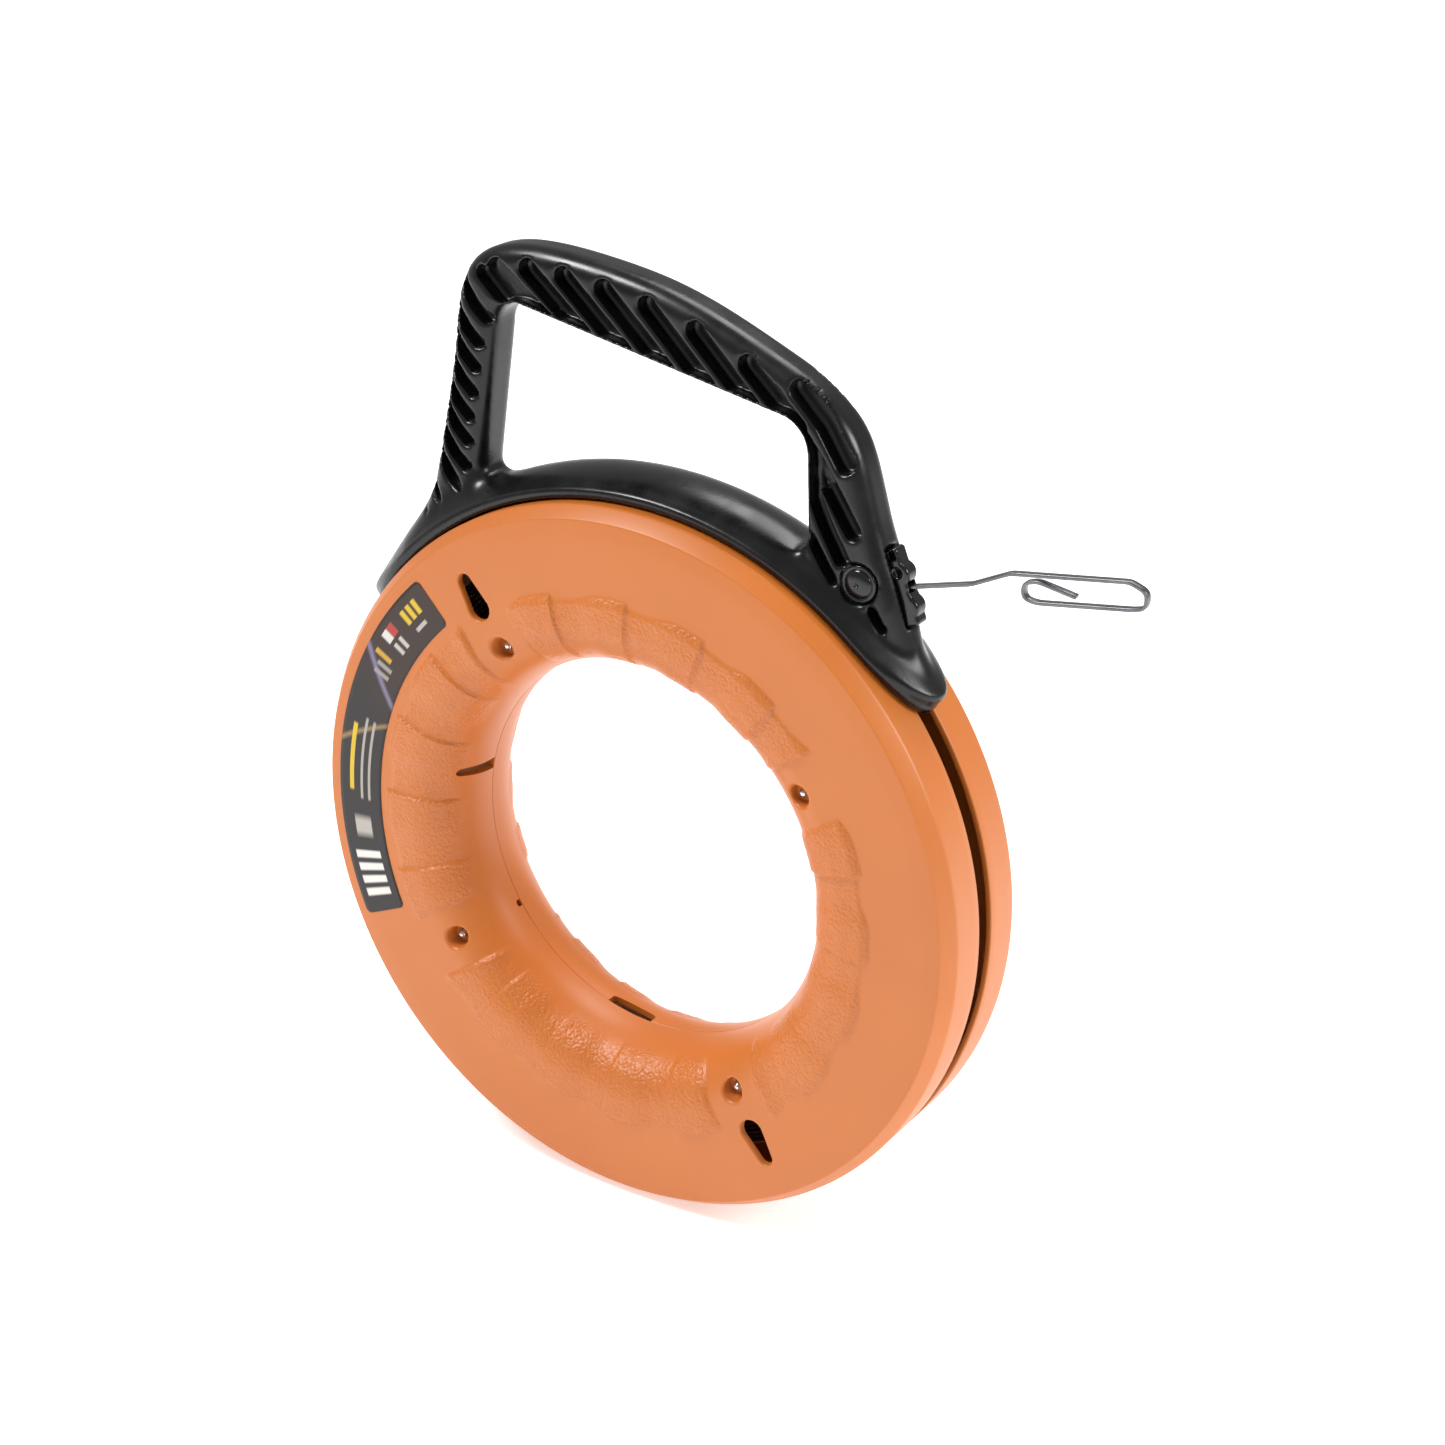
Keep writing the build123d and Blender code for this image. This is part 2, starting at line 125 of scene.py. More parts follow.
# the floor as one square under the reel, the white room round it, its disk lamps and the camera
def buildStudio():
    half, level = studio["floorSize"] / 2, studio["floorLevel"]
    corners = [(-half, -half, level), (half, -half, level), (half, half, level), (-half, half, level)]
    mesh = bpy.data.meshes.new("studioFloor")
    mesh.from_pydata(corners, [], [(0, 1, 2, 3)])
    floor = bpy.data.objects.new("studioFloor", mesh)
    bpy.context.scene.collection.objects.link(floor)
    # painted board lit from behind: matt white, very faintly uneven
    material, tree, place = newMaterial("whiteStudioBoard")
    cloud = addNode(tree, "ShaderNodeTexNoise", {"Vector": place, "Scale": 3.0})
    white = linear(studio["floorColor"])
    mesh.materials.append(finishMaterial(material, {
        "Base Color": white, "Roughness": 0.9, "Emission Color": white,
        "Emission Strength": studio["floorGlow"], "Normal": bumpNormal(tree, cloud.outputs["Fac"], 0.2)}))

    world = bpy.data.worlds.new("softWhiteRoom")
    bpy.context.scene.world = world
    world.use_nodes = True
    sky = world.node_tree.nodes["Background"]
    sky.inputs["Color"].default_value = linear(studio["skyColor"])
    sky.inputs["Strength"].default_value = studio["skyStrength"]
    for name, (azimuth, elevation, distance, size, watts) in lamps.items():
        light = bpy.data.lights.new(name, "AREA")
        light.shape = "DISK"
        light.size = size
        light.energy = watts
        aimAt(bpy.data.objects.new(name, light), toward(azimuth, elevation), distance)

    view = bpy.data.cameras.new("productView")
    view.lens = camera["lens"]
    view.sensor_width = camera["sensor"]
    view.clip_end = camera["farthest"]
    viewer = bpy.data.objects.new("productView", view)
    aimAt(viewer, toward(camera["azimuth"], camera["elevation"]), camera["distance"])
    bpy.context.scene.camera = viewer
    bpy.context.scene.view_settings.view_transform = "Standard"


buildStudio()
print("studio ready")


# a mesh object from a point array in millimetres and arrays of corner numbers (quads and triangles)
def newPiece(name, points, quads, triangles=None, uv=None):
    faceSets = [faces for faces in (quads, triangles) if faces is not None and len(faces)]
    corners = np.concatenate([faces.ravel() for faces in faceSets]).astype(np.int32)
    counts = np.concatenate([np.full(len(faces), faces.shape[1]) for faces in faceSets]).astype(np.int32)
    starts = np.concatenate([[0], np.cumsum(counts)[:-1]]).astype(np.int32)
    mesh = bpy.data.meshes.new(name)
    mesh.vertices.add(len(points))
    mesh.vertices.foreach_set("co", (points * mm).astype(np.float32).ravel())
    mesh.loops.add(len(corners))
    mesh.loops.foreach_set("vertex_index", corners)
    mesh.polygons.add(len(counts))
    mesh.polygons.foreach_set("loop_start", starts)
    mesh.update(calc_edges=True)
    mesh.validate()
    mesh.shade_smooth()
    if uv is not None:
        layer = mesh.uv_layers.new(name="UVMap")
        layer.data.foreach_set("uv", uv[corners].astype(np.float32).ravel())
    piece = bpy.data.objects.new(name, mesh)
    bpy.context.scene.collection.objects.link(piece)
    return piece


# gives a finished piece its finish, its body and the CAD node that it stands for
def finishPiece(piece, material, body, slotName, *nodes):
    piece.data.materials.clear()
    piece.data.materials.append(material)
    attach(piece, body)
    if nodes:
        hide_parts(*nodes)
    print(piece.name, len(piece.data.polygons), "faces")


# quads between the rows and columns of a grid; a wrapped direction joins its last line to its first
def gridFaces(rows, columns, wrapRows=False, wrapColumns=False, first=0):
    i = np.arange(rows if wrapRows else rows - 1)[:, None]
    j = np.arange(columns if wrapColumns else columns - 1)[None, :]
    i2, j2 = (i + 1) % rows, (j + 1) % columns
    cell = [i * columns + j, i * columns + j2, i2 * columns + j2, i2 * columns + j]
    return np.stack([c + np.zeros_like(i * j) for c in cell], axis=-1).reshape(-1, 4) + first


# a closed shell from a stack of closed rings, rows of an (n, m, 3) array, with a fan at each end
def ringShell(rings, flip=False):
    n, m, _ = rings.shape
    points = np.concatenate([rings.reshape(-1, 3), rings[:1].mean(axis=1), rings[-1:].mean(axis=1)])
    quads = gridFaces(n, m, wrapColumns=True)
    j = np.arange(m)
    j2 = (j + 1) % m
    low = np.stack([np.full(m, n * m), j2, j], axis=1)
    high = np.stack([np.full(m, n * m + 1), (n - 1) * m + j, (n - 1) * m + j2], axis=1)
    triangles = np.concatenate([low, high])
    if flip:
        quads, triangles = quads[:, ::-1], triangles[:, ::-1]
    return points, quads, triangles


# several closed shells as one point list and face lists
def joinShells(shells):
    points, quads, triangles, first = [], [], [], 0
    for p, q, t in shells:
        points.append(p)
        quads.append(q + first)
        triangles.append(t + first)
        first += len(p)
    return np.concatenate(points), np.concatenate(quads), np.concatenate(triangles)


# a boolean of one piece with a tool piece, applied at once; the tool is thrown away
def combine(piece, tool, operation):
    step = piece.modifiers.new("cut", "BOOLEAN")
    step.operation = operation
    step.solver = "EXACT"
    step.object = tool
    view = bpy.context.evaluated_depsgraph_get()
    result = bpy.data.meshes.new_from_object(piece.evaluated_get(view))
    piece.modifiers.clear()
    result.name = piece.name
    piece.data = result
    bpy.data.objects.remove(tool)


# smooth step from 0 at low to 1 at high
def easeStep(value, low, high):
    t = np.clip((value - low) / (high - low), 0, 1)
    return t * t * (3 - 2 * t)


case = dict(
    openingRadius=84.0, band=2.5, slopeEnd=107.0, face=29.05, wall=2.8,
    crease=148.2, rim=152.5, bevelLevel=22.3, gapLevel=4.8, lipInner=150.0, lipLevel=7.4,
    innerWall=((149.8, 14.0), (149.6, 21.3), (146.8, 26.2)),
    shoulder=142.0, shoulderDrop=0.45,       # the face falls away a little in a band beside the crease
    columns=780,
    padCentres=(78, 168, 258, 348), padHeight=1.8, padReach=118.0, padStart=13.0,
    lobePitch=18.0, lobeSteps=26.0, lobeLow=0.25, lobeCut=3.6,
    screwAngles=(33, 123, 213, 303), screwCircle=101.0,
    windowAngles=(123, 303), windowWide=(119.3, 5.1), windowNarrow=(131.5, 3.2),
    latchSlot=(168, 2.9, 20.0), smallSlot=(213, 1.5, 3.0), rearNotch=(260, 11.0, 6.0),
)


# a corner rounded with an arc that stays tangent to both sides, as points after the corner's arc
def roundCorner(before, corner, after, radius, steps):
    before, corner, after = (np.array(p, float) for p in (before, corner, after))
    a = (before - corner) / np.linalg.norm(before - corner)
    b = (after - corner) / np.linalg.norm(after - corner)
    half = np.arccos(np.clip(a @ b, -1, 1)) / 2
    centre = corner + (a + b) / np.linalg.norm(a + b) * radius / np.sin(half)
    start = corner + a * radius / np.tan(half) - centre
    end = corner + b * radius / np.tan(half) - centre
    sweep = np.arctan2(start[0] * end[1] - start[1] * end[0], start @ end)
    turn = np.linspace(0, sweep, steps)
    return centre + np.stack([start[0] * np.cos(turn) - start[1] * np.sin(turn),
                              start[0] * np.sin(turn) + start[1] * np.cos(turn)], axis=1)


# The section of one half as (radius, level): a quarter ellipse from the hand opening to the flat face,
# radius = end - a cos u and level = band + b sin u, then the face, the shoulder, the bevel, the rim and
# the lip, and back along the inside one wall lower. Returns the points and how many are outer skin.
def caseSection():
    c = case
    u = np.linspace(0, np.pi / 2, 36)
    a, b = c["slopeEnd"] - c["openingRadius"], c["face"] - c["band"]
    slope = np.stack([c["slopeEnd"] - a * np.cos(u), c["band"] + b * np.sin(u)], axis=1)
    mouth = [(c["openingRadius"] + 0.3, 0), (c["openingRadius"], 0.3)]
    flatRadii = np.concatenate([np.linspace(c["slopeEnd"] + 1, 122, 15),
                                np.linspace(124, c["shoulder"] - 0.5, 7)])
    flat = np.stack([flatRadii, np.full(len(flatRadii), c["face"])], axis=1)
    low = c["face"] - c["shoulderDrop"]
    crease, edge = (c["crease"], low), (c["rim"], c["bevelLevel"])
    gap = (c["rim"], c["gapLevel"])
    lip = (c["lipInner"], c["gapLevel"])
    shoulder = [(c["shoulder"] + 1.0, c["face"] - 0.12), (145.2, c["face"] - 0.3)]
    bends = [
        roundCorner(shoulder[-1], crease, edge, 1.1, 5),
        roundCorner(crease, edge, gap, 2.6, 5),
        np.array([(c["rim"], 18.0), (c["rim"], 13.5), (c["rim"], 9.0)]),
        roundCorner(edge, gap, lip, 0.6, 4),
        roundCorner(gap, lip, (c["lipInner"], c["lipLevel"]), 0.5, 3),
    ]
    outer = np.concatenate([mouth, slope, flat, shoulder, *bends])
    inside = [*c["innerWall"], (c["slopeEnd"], c["face"] - c["wall"])]
    v = np.linspace(np.pi / 2, 0, 14)[1:]
    back = np.stack([c["slopeEnd"] - (a - c["wall"]) * np.cos(v),
                     c["band"] + (b - c["wall"]) * np.sin(v)], axis=1)
    foot = [(c["openingRadius"] + c["wall"], 0)]
    return np.concatenate([outer, inside, back, foot]), len(outer)


# How high a grip pad stands above the skin, as a share 0 to 1 of its full height: it starts a fixed
# distance from the lines through the screws, steps up in lobes round the reel, ends in a flat bevel
# that follows the lobes, and fades out towards the parting line.
def padShare(angle, radius, level):
    c = case
    share = np.zeros_like(angle)
    for centre in c["padCentres"]:
        off = (angle - centre + 180) % 360 - 180
        side = (45 - np.abs(off)) * np.pi / 180 * radius
        across = np.clip((side - c["padStart"]) / 2.2, 0, 1)
        phase = ((c["lobeSteps"] - off) / c["lobePitch"]) % 1.0     # 0 just after a step, going clockwise
        lobe = (c["lobeLow"] + (1 - c["lobeLow"]) * easeStep(phase, 0.25, 0.62)
                * (1 - easeStep(phase, 0.95, 1.0)))
        outer = c["padReach"] - c["lobeCut"] * (1 - lobe)
        bevel = np.clip((outer - radius) / (0.8 + 2.6 * lobe), 0, 1)
        share = np.maximum(share, across * bevel * lobe)
    return share * easeStep(level, 14.0, 27.0)


# height of the outer skin over the mid-plane at a radius from the axis
def skinLevel(radius):
    c = case
    a, b = c["slopeEnd"] - c["openingRadius"], c["face"] - c["band"]
    inward = np.clip((c["slopeEnd"] - radius) / a, 0, 1)
    return c["band"] + b * np.sqrt(1 - inward ** 2)


# the centre of a case screw, at its angle round the reel
def screwCentre(angle):
    return case["screwCircle"] * np.cos(np.radians(angle)), case["screwCircle"] * np.sin(np.radians(angle))


# a round tool on a screw's axis: rings of (radius, level, 1 where the level is counted from the skin)
def screwTool(angle, rings, side, count=40):
    t = np.arange(count) / count * fullTurn
    cx, cz = screwCentre(angle)
    rows = []
    for radius, level, onSkin in rings:
        x, z = cx + radius * np.cos(t), cz + radius * np.sin(t)
        height = level + onSkin * skinLevel(np.hypot(x, z))
        rows.append(np.stack([x, side * height, z], axis=1))
    return ringShell(np.array(rows), flip=side > 0)


# the outline round two circles on one line, radius and place of each, moved outwards by grow
def teardrop(wide, narrow, grow, count=48):
    (p1, r1), (p2, r2) = wide, narrow
    lean = np.arccos((r1 - r2) / (p2 - p1))
    ends = [(p1, r1 + grow, np.linspace(lean, fullTurn - lean, count)),
            (p2, r2 + grow, np.linspace(-lean, lean, count // 2))]
    return np.concatenate([np.stack([p + r * np.cos(t), r * np.sin(t)], axis=1) for p, r, t in ends])


# a teardrop window tool with a softened mouth, through the flat face
def windowTool(angle, side):
    face = case["face"]
    turn = np.radians(angle)
    rows = []
    for grow, level in ((1.2, face + 2), (1.2, face + 0.4), (0.45, face - 0.08), (0.12, face - 0.45),
                        (0.0, face - 1.0), (0.0, face - 5)):
        along, across = teardrop(case["windowWide"], case["windowNarrow"], grow).T
        x = along * np.cos(turn) - across * np.sin(turn)
        z = along * np.sin(turn) + across * np.cos(turn)
        rows.append(np.stack([x, np.full_like(x, side * level), z], axis=1))
    return ringShell(np.array(rows)[::-1], flip=side > 0)


# a slot tool through the wall of the hand opening: its outline is drawn along the parting line and down
# the level, narrowing towards a round end, and is carried outwards along the radius
def openingTool(slot, side, narrowing=1.0):
    angle, half, depth = slot
    end = half * narrowing
    t = np.linspace(0, np.pi, 13)
    roundEnd = min(end, depth * 0.4)
    tip = np.stack([end * np.cos(t), depth - roundEnd + roundEnd * np.sin(t)], axis=1)
    outline = np.concatenate([[(-half, -2.0), (half, -2.0)], tip])
    turn = np.radians(angle)
    outward, along = np.array([np.cos(turn), np.sin(turn)]), np.array([-np.sin(turn), np.cos(turn)])
    rows = []
    for radius in (77.0, 84.0, 92.0, 104.0):
        x = outward[0] * radius + along[0] * outline[:, 0]
        z = outward[1] * radius + along[1] * outline[:, 0]
        rows.append(np.stack([x, side * outline[:, 1], z], axis=1))
    return ringShell(np.array(rows), flip=side > 0)


# one half of the case: the section turned about the axis, pads raised along the skin's own normal,
# bosses added, and screw wells, windows and slots cut through
def buildCover(name, side):
    section, outerCount = caseSection()
    columns = case["columns"]
    turn = np.arange(columns) / columns * fullTurn
    radius = np.repeat(section[:, :1], columns, axis=1)
    level = np.repeat(section[:, 1:], columns, axis=1)
    angle = np.repeat(np.degrees(turn)[None, :], len(section), axis=0)
    tangent = np.gradient(section, axis=0)
    normal = np.stack([-tangent[:, 1], tangent[:, 0]], axis=1)
    normal /= np.linalg.norm(normal, axis=1, keepdims=True)
    rise = padShare(angle, radius, level) * case["padHeight"]
    rise[outerCount:] = 0
    rise[level > case["face"] + 1] = 0
    radius = radius + rise * normal[:, :1]
    level = level + rise * normal[:, 1:]
    points = np.stack([radius * np.cos(turn), side * level, radius * np.sin(turn)], axis=-1)
    quads = gridFaces(len(section), columns, wrapRows=True, wrapColumns=True)
    if side < 0:
        quads = quads[:, ::-1]
    cover = newPiece(name, points.reshape(-1, 3), quads)
    bosses = [screwTool(a, [(6.3, 0.3, 0), (6.3, 12.0, 0), (6.3, -1.5, 1), (3.0, -1.5, 1)], side)
              for a in case["screwAngles"]]
    combine(cover, newPiece("bossTool", *joinShells(bosses)), "UNION")
    if side < 0:
        well = [(2.1, -2.0, 0), (2.1, 22.0, 0), (4.2, 22.0, 0), (4.4, 22.3, 0), (4.6, -1.5, 1),
                (4.95, -0.7, 1), (5.5, -0.15, 1), (6.4, 0.3, 1), (6.4, 5.0, 1)]
    else:
        well = [(2.3, -2.0, 0), (2.3, 20.0, 0), (4.9, 20.0, 0), (5.0, 20.3, 0), (5.0, -0.8, 1),
                (5.3, -0.2, 1), (5.9, 0.3, 1), (5.9, 5.0, 1)]
    tools = [screwTool(a, well, side) for a in case["screwAngles"]]
    if side < 0:
        tools += [windowTool(a, side) for a in case["windowAngles"]]
        tools += [openingTool(case["latchSlot"], side, 0.62), openingTool(case["smallSlot"], side)]
    else:
        tools += [openingTool(case["rearNotch"], side)]
    for tool in tools:
        combine(cover, newPiece("wellTool", *tool), "DIFFERENCE")
    count = len(cover.data.vertices)
    place = np.empty(count * 3, np.float32)
    cover.data.vertices.foreach_get("co", place)
    x, y, z = place.reshape(-1, 3).T / mm
    r = np.hypot(x, z)
    skin = np.abs(y) > skinLevel(r) - 1.0
    share = padShare(np.degrees(np.arctan2(z, x)), r, np.abs(y)) * skin
    pad = cover.data.attributes.new("pad", "FLOAT", "POINT")
    pad.data.foreach_set("value", np.clip(share * 4, 0, 1).astype(np.float32))
    cover.data.shade_smooth()
    cover.data.set_sharp_from_angle(angle=math.radians(38))
    return cover


casePlastic = dict(color="#BF6A24", shade="#B76320", rough=0.42, grain=0.55, grainDepth=0.018,
                   pebble=1.3, pebbleDepth=0.42)


# ABS, injection moulded in a spark-textured tool: a satin orange that stays bright and soft-edged,
# with coarse pebbles on the grip pads that catch the light
def mouldedCase():
    p = casePlastic
    material, tree, place = newMaterial("orangeAbsMoulded")
    pads = addNode(tree, "ShaderNodeAttribute", attribute_name="pad").outputs["Fac"]
    cloud = addNode(tree, "ShaderNodeTexNoise", {"Vector": place, "Scale": 22.0, "Detail": 2.0})
    grain = noisePattern(tree, place, p["grain"])
    warp = noisePattern(tree, place, p["pebble"] * 2)
    bent = addNode(tree, "ShaderNodeVectorMath",
                   {0: warp.outputs["Color"], 1: (0.9 * mm, 0.9 * mm, 0.9 * mm)}, operation="MULTIPLY")
    moved = addNode(tree, "ShaderNodeVectorMath", {0: place, 1: bent.outputs["Vector"]}, operation="ADD")
    pebble = addNode(tree, "ShaderNodeTexVoronoi",
                     {"Vector": moved.outputs["Vector"], "Scale": 1 / (p["pebble"] * mm), "Smoothness": 0.6},
                     feature="SMOOTH_F1")
    domes = addNode(tree, "ShaderNodeMath", {0: 1.0, 1: pebble.outputs["Distance"]}, operation="SUBTRACT")
    raised = addNode(tree, "ShaderNodeMath", {0: domes.outputs["Value"], 1: pads}, operation="MULTIPLY")
    fine = bumpNormal(tree, grain.outputs["Fac"], p["grainDepth"])
    coarse = bumpNormal(tree, raised.outputs["Value"], p["pebbleDepth"], Normal=fine)
    tone = mixColors(tree, cloud.outputs["Fac"], linear(p["color"]), linear(p["shade"]))
    return finishMaterial(material, {"Base Color": tone, "Roughness": p["rough"], "IOR": 1.53,
                                     "Normal": coarse})


orange = mouldedCase()
finishPiece(buildCover("frontShell", -1), orange, "reel", "orange_case", "front_cover")
finishPiece(buildCover("rearShell", 1), orange, "reel", "orange_case", "rear_cover")
print("case done")


# natural cubic spline through points, by chord length, as a line of count points
def cubicLine(knots, count):
    knots = np.array(knots, float)
    t = np.concatenate([[0], np.cumsum(np.linalg.norm(np.diff(knots, axis=0), axis=1))])
    h, n = np.diff(t), len(knots)
    system, right = np.eye(n), np.zeros((n, knots.shape[1]))
    inner = np.arange(1, n - 1)
    system[inner, inner - 1], system[inner, inner + 1] = h[:-1], h[1:]
    system[inner, inner] = 2 * (h[:-1] + h[1:])
    slope = np.diff(knots, axis=0) / h[:, None]
    right[1:-1] = 6 * np.diff(slope, axis=0)
    bend = np.linalg.solve(system, right)
    s = np.linspace(0, t[-1], count)
    k = np.clip(np.searchsorted(t, s) - 1, 0, n - 2)
    a, b, w = (s - t[k])[:, None], (t[k + 1] - s)[:, None], h[k][:, None]
    return (bend[k] * b ** 3 / (6 * w) + bend[k + 1] * a ** 3 / (6 * w)
            + (knots[k] / w - bend[k] * w / 6) * b + (knots[k + 1] / w - bend[k + 1] * w / 6) * a)


# a closed outline whose corners (x, z, radius) are rounded
def roundedOutline(corners):
    count = len(corners)
    pieces = []
    for k, (x, z, radius) in enumerate(corners):
        before, after = corners[k - 1][:2], corners[(k + 1) % count][:2]
        pieces.append(roundCorner(before, (x, z), after, radius, 9))
    return np.concatenate(pieces)


# signed distance to a closed outline, negative inside: the nearest side gives the size, and the number
# of sides that a ray crosses gives the sign
def outlineDistance(x, z, outline):
    nearest, inside = np.full(x.shape, 1e9), np.zeros(x.shape, bool)
    for (ax, az), (bx, bz) in zip(outline, np.roll(outline, -1, axis=0)):
        ex, ez, px, pz = bx - ax, bz - az, x - ax, z - az
        t = np.clip((px * ex + pz * ez) / (ex * ex + ez * ez + 1e-12), 0, 1)
        nearest = np.minimum(nearest, (px - t * ex) ** 2 + (pz - t * ez) ** 2)
        if az != bz:
            inside ^= ((az > z) != (bz > z)) & (px < ex * pz / ez)
    return np.sqrt(nearest) * np.where(inside, -1, 1)


# distance to a bent slot with round ends: the nearest of a few straight runs, less half the width
def slotDistance(x, z, line, width):
    nearest = np.full(x.shape, 1e9)
    for (ax, az), (bx, bz) in zip(line[:-1], line[1:]):
        ex, ez, px, pz = bx - ax, bz - az, x - ax, z - az
        t = np.clip((px * ex + pz * ez) / (ex * ex + ez * ez), 0, 1)
        nearest = np.minimum(nearest, np.hypot(px - t * ex, pz - t * ez))
    return nearest - width / 2


# overlap of two distances with the shared edge rounded to a radius
def roundMax(a, b, radius):
    u, v = np.maximum(a + radius, 0), np.maximum(b + radius, 0)
    return np.minimum(np.maximum(a, b), -radius) + np.hypot(u, v)


# union of two distances with a soft fillet between them
def softMin(a, b, reach):
    blend = np.maximum(reach - np.abs(a - b), 0) / reach
    return np.minimum(a, b) - blend * blend * reach / 4


# cut of a distance by another, with the edge softened
def softCut(a, cutter, reach):
    return -softMin(-a, cutter, reach)


# The surface where a field on a regular grid changes sign. Each grid cell that the surface passes
# through gets one point, the mean of its edge crossings, and each crossed grid edge gets the quad of
# the four cells round it. Points that no face uses are dropped, and the rest are then eased towards
# their neighbours' mean.
def fieldSurface(field, origin, step, ease=2):
    total = np.zeros(tuple(n - 1 for n in field.shape) + (3,), np.float32)
    hits = np.zeros(total.shape[:3], np.int8)
    inside = field < 0
    crossings = []
    index = np.indices(field.shape, dtype=np.float32)
    for axis in range(3):
        low, high = [slice(None)] * 3, [slice(None)] * 3
        low[axis], high[axis] = slice(None, -1), slice(1, None)
        low, high = tuple(low), tuple(high)
        crossed = inside[low] != inside[high]
        gap = field[low] - field[high]
        share = np.where(crossed, field[low] / np.where(gap == 0, 1, gap), 0).astype(np.float32)
        crossings.append((axis, crossed, inside[low]))
        others = [k for k in range(3) if k != axis]
        for shift in ((0, 0), (0, 1), (1, 0), (1, 1)):
            part = [slice(None)] * 3
            for k, s in zip(others, shift):
                part[k] = slice(1, None) if s else slice(None, -1)
            part = tuple(part)
            hit = crossed[part]
            hits += hit
            for k in range(3):
                value = index[k][low][part] + (share[part] if k == axis else 0)
                total[..., k] += np.where(hit, value, 0)
    used = hits > 0
    number = np.full(used.shape, -1, np.int64)
    number[used] = np.arange(used.sum())
    points = total[used] / hits[used][:, None]
    faces = []
    for axis, crossed, startsInside in crossings:
        b, c = (axis + 1) % 3, (axis + 2) % 3
        inner = [slice(None)] * 3
        inner[b], inner[c] = slice(1, -1), slice(1, -1)
        at = np.argwhere(crossed[tuple(inner)])
        at[:, b] += 1
        at[:, c] += 1
        corners = []
        for db, dc in ((-1, -1), (0, -1), (0, 0), (-1, 0)):
            cell = at.copy()
            cell[:, b] += db
            cell[:, c] += dc
            corners.append(number[tuple(cell.T)])
        quad = np.stack(corners, axis=1)
        outwardFirst = startsInside[tuple(at.T)]
        faces.append(np.where(outwardFirst[:, None], quad, quad[:, ::-1]))
    faces = np.concatenate(faces)
    ends = np.concatenate([faces[:, [0, 1]], faces[:, [1, 2]], faces[:, [2, 3]], faces[:, [3, 0]]])
    valence = np.bincount(ends.ravel(), minlength=len(points))
    kept = valence > 0
    number = np.cumsum(kept) - 1
    points, valence, ends, faces = points[kept], valence[kept], number[ends], number[faces]
    for _ in range(ease):
        total = [np.bincount(ends[:, 0], points[ends[:, 1], k], len(points))
                 + np.bincount(ends[:, 1], points[ends[:, 0], k], len(points)) for k in range(3)]
        points = points + 0.5 * (np.stack(total, axis=1) / valence[:, None] - points)
    return points * step + origin, faces


handle = dict(
    step=0.85, low=(-137.5, -20.0, 83.0), high=(135.5, 20.0, 248.0),    # of the grid
    rearLeg=[(-131, 86), (-117.5, 111), (-105.5, 134), (-97, 166), (-90, 200), (-86.5, 221)],
    grip=[(-78, 237), (-62, 244), (-46, 245), (-18, 242.5), (9, 237.5), (36, 228.5), (58, 219)],
    frontLeg=[(75, 210.5), (87, 201), (94.5, 191), (98.8, 180), (104.5, 160), (110.5, 143)],
    prow=[(116, 127.5), (121.5, 112), (126.5, 98)],
    opening=[(-66.5, 224, 12), (75, 195.3, 14), (76.5, 144.4, 9), (-78.5, 143.2, 7)],
    gripHalf=10.5, gripRound=7.5, innerRound=((-64, 6.5), (-54, 2.4)), footHalf=3.2,
    front=(50.0, 38.2, 41.0), rear=(134.0, 40.0, 43.0),     # bow angle, bow length, taper length
    saddle=(153.3, 157.0, 163.3, 18.5),                     # inside, edge and crown radius, half width
    bead=(156.1, 1.0, 1.35),                                # radius, distance in from the edge, size
    filletAt=(-92, -60, 60, 92), legFillet=(12.0, 8.0, 6.0, 2.6),    # places along X, fillets there
    web=(4.3, 8.5, 140.0, 145.8, 46.0, 140.0), shell=3.2, pocketEdge=0.5, lowWall=1.3, outerWall=1.2,
    rivet=(98.6, 138.4), bossRadius=8.8, bossLevel=8.6, recess=8.2,
    guideOrigin=(106.6, 152.0), guideTurn=-68.9, cutout=(15.5, 2.2, 31.0, 9.0), cutoutHalf=4.1,
    exit=(113.2, 137.5), exitAngle=14.0, channel=(1.9, 2.3), channelLength=60,
)
# pockets: a row of equal ones along the bar, a row down the rear leg, and single ones, each a width and
# a bent line
pocket = dict(
    barCount=7, barWidth=8.3, barTop=(-65.5, 14.5, 0.78), barFoot=(-45.0, 19.0, 219.6, -3.86),
    barEdge=8.6, barPast=0.12, gripLevel=205, gripPoints=520,
    legWidth=5.4, legBend=[(-5.0, 0.5), (-10.0, 5.0), (-26.0, 29.0)],
    leg=[(-66.2, 213.6), (-70.3, 203.4), (-72.3, 193.2), (-74, 182.7), (-76, 172.4), (-77.3, 162.0),
         (-78.8, 151.0), (-81.0, 140.6), (-90.0, 132.6), (-97.6, 127.0)],
    single=[(6.4, [(-72.0, 232.0), (-64, 224.5), (-55.0, 219.0)]),
            (7.8, [(71.5, 208.5), (83.0, 197.0), (91.5, 183.5)]),
            (7.4, [(61.0, 205.5), (80.5, 181.5), (95.5, 158.5)]),
            (6.4, [(76.0, 176.5), (84.5, 158.0), (91.0, 146.5)]),
            (4.2, [(77.5, 153.0), (84.0, 142.5), (87.5, 137.0)]),
            (4.0, [(104.6, 128.6), (108.7, 122.0)])],
)


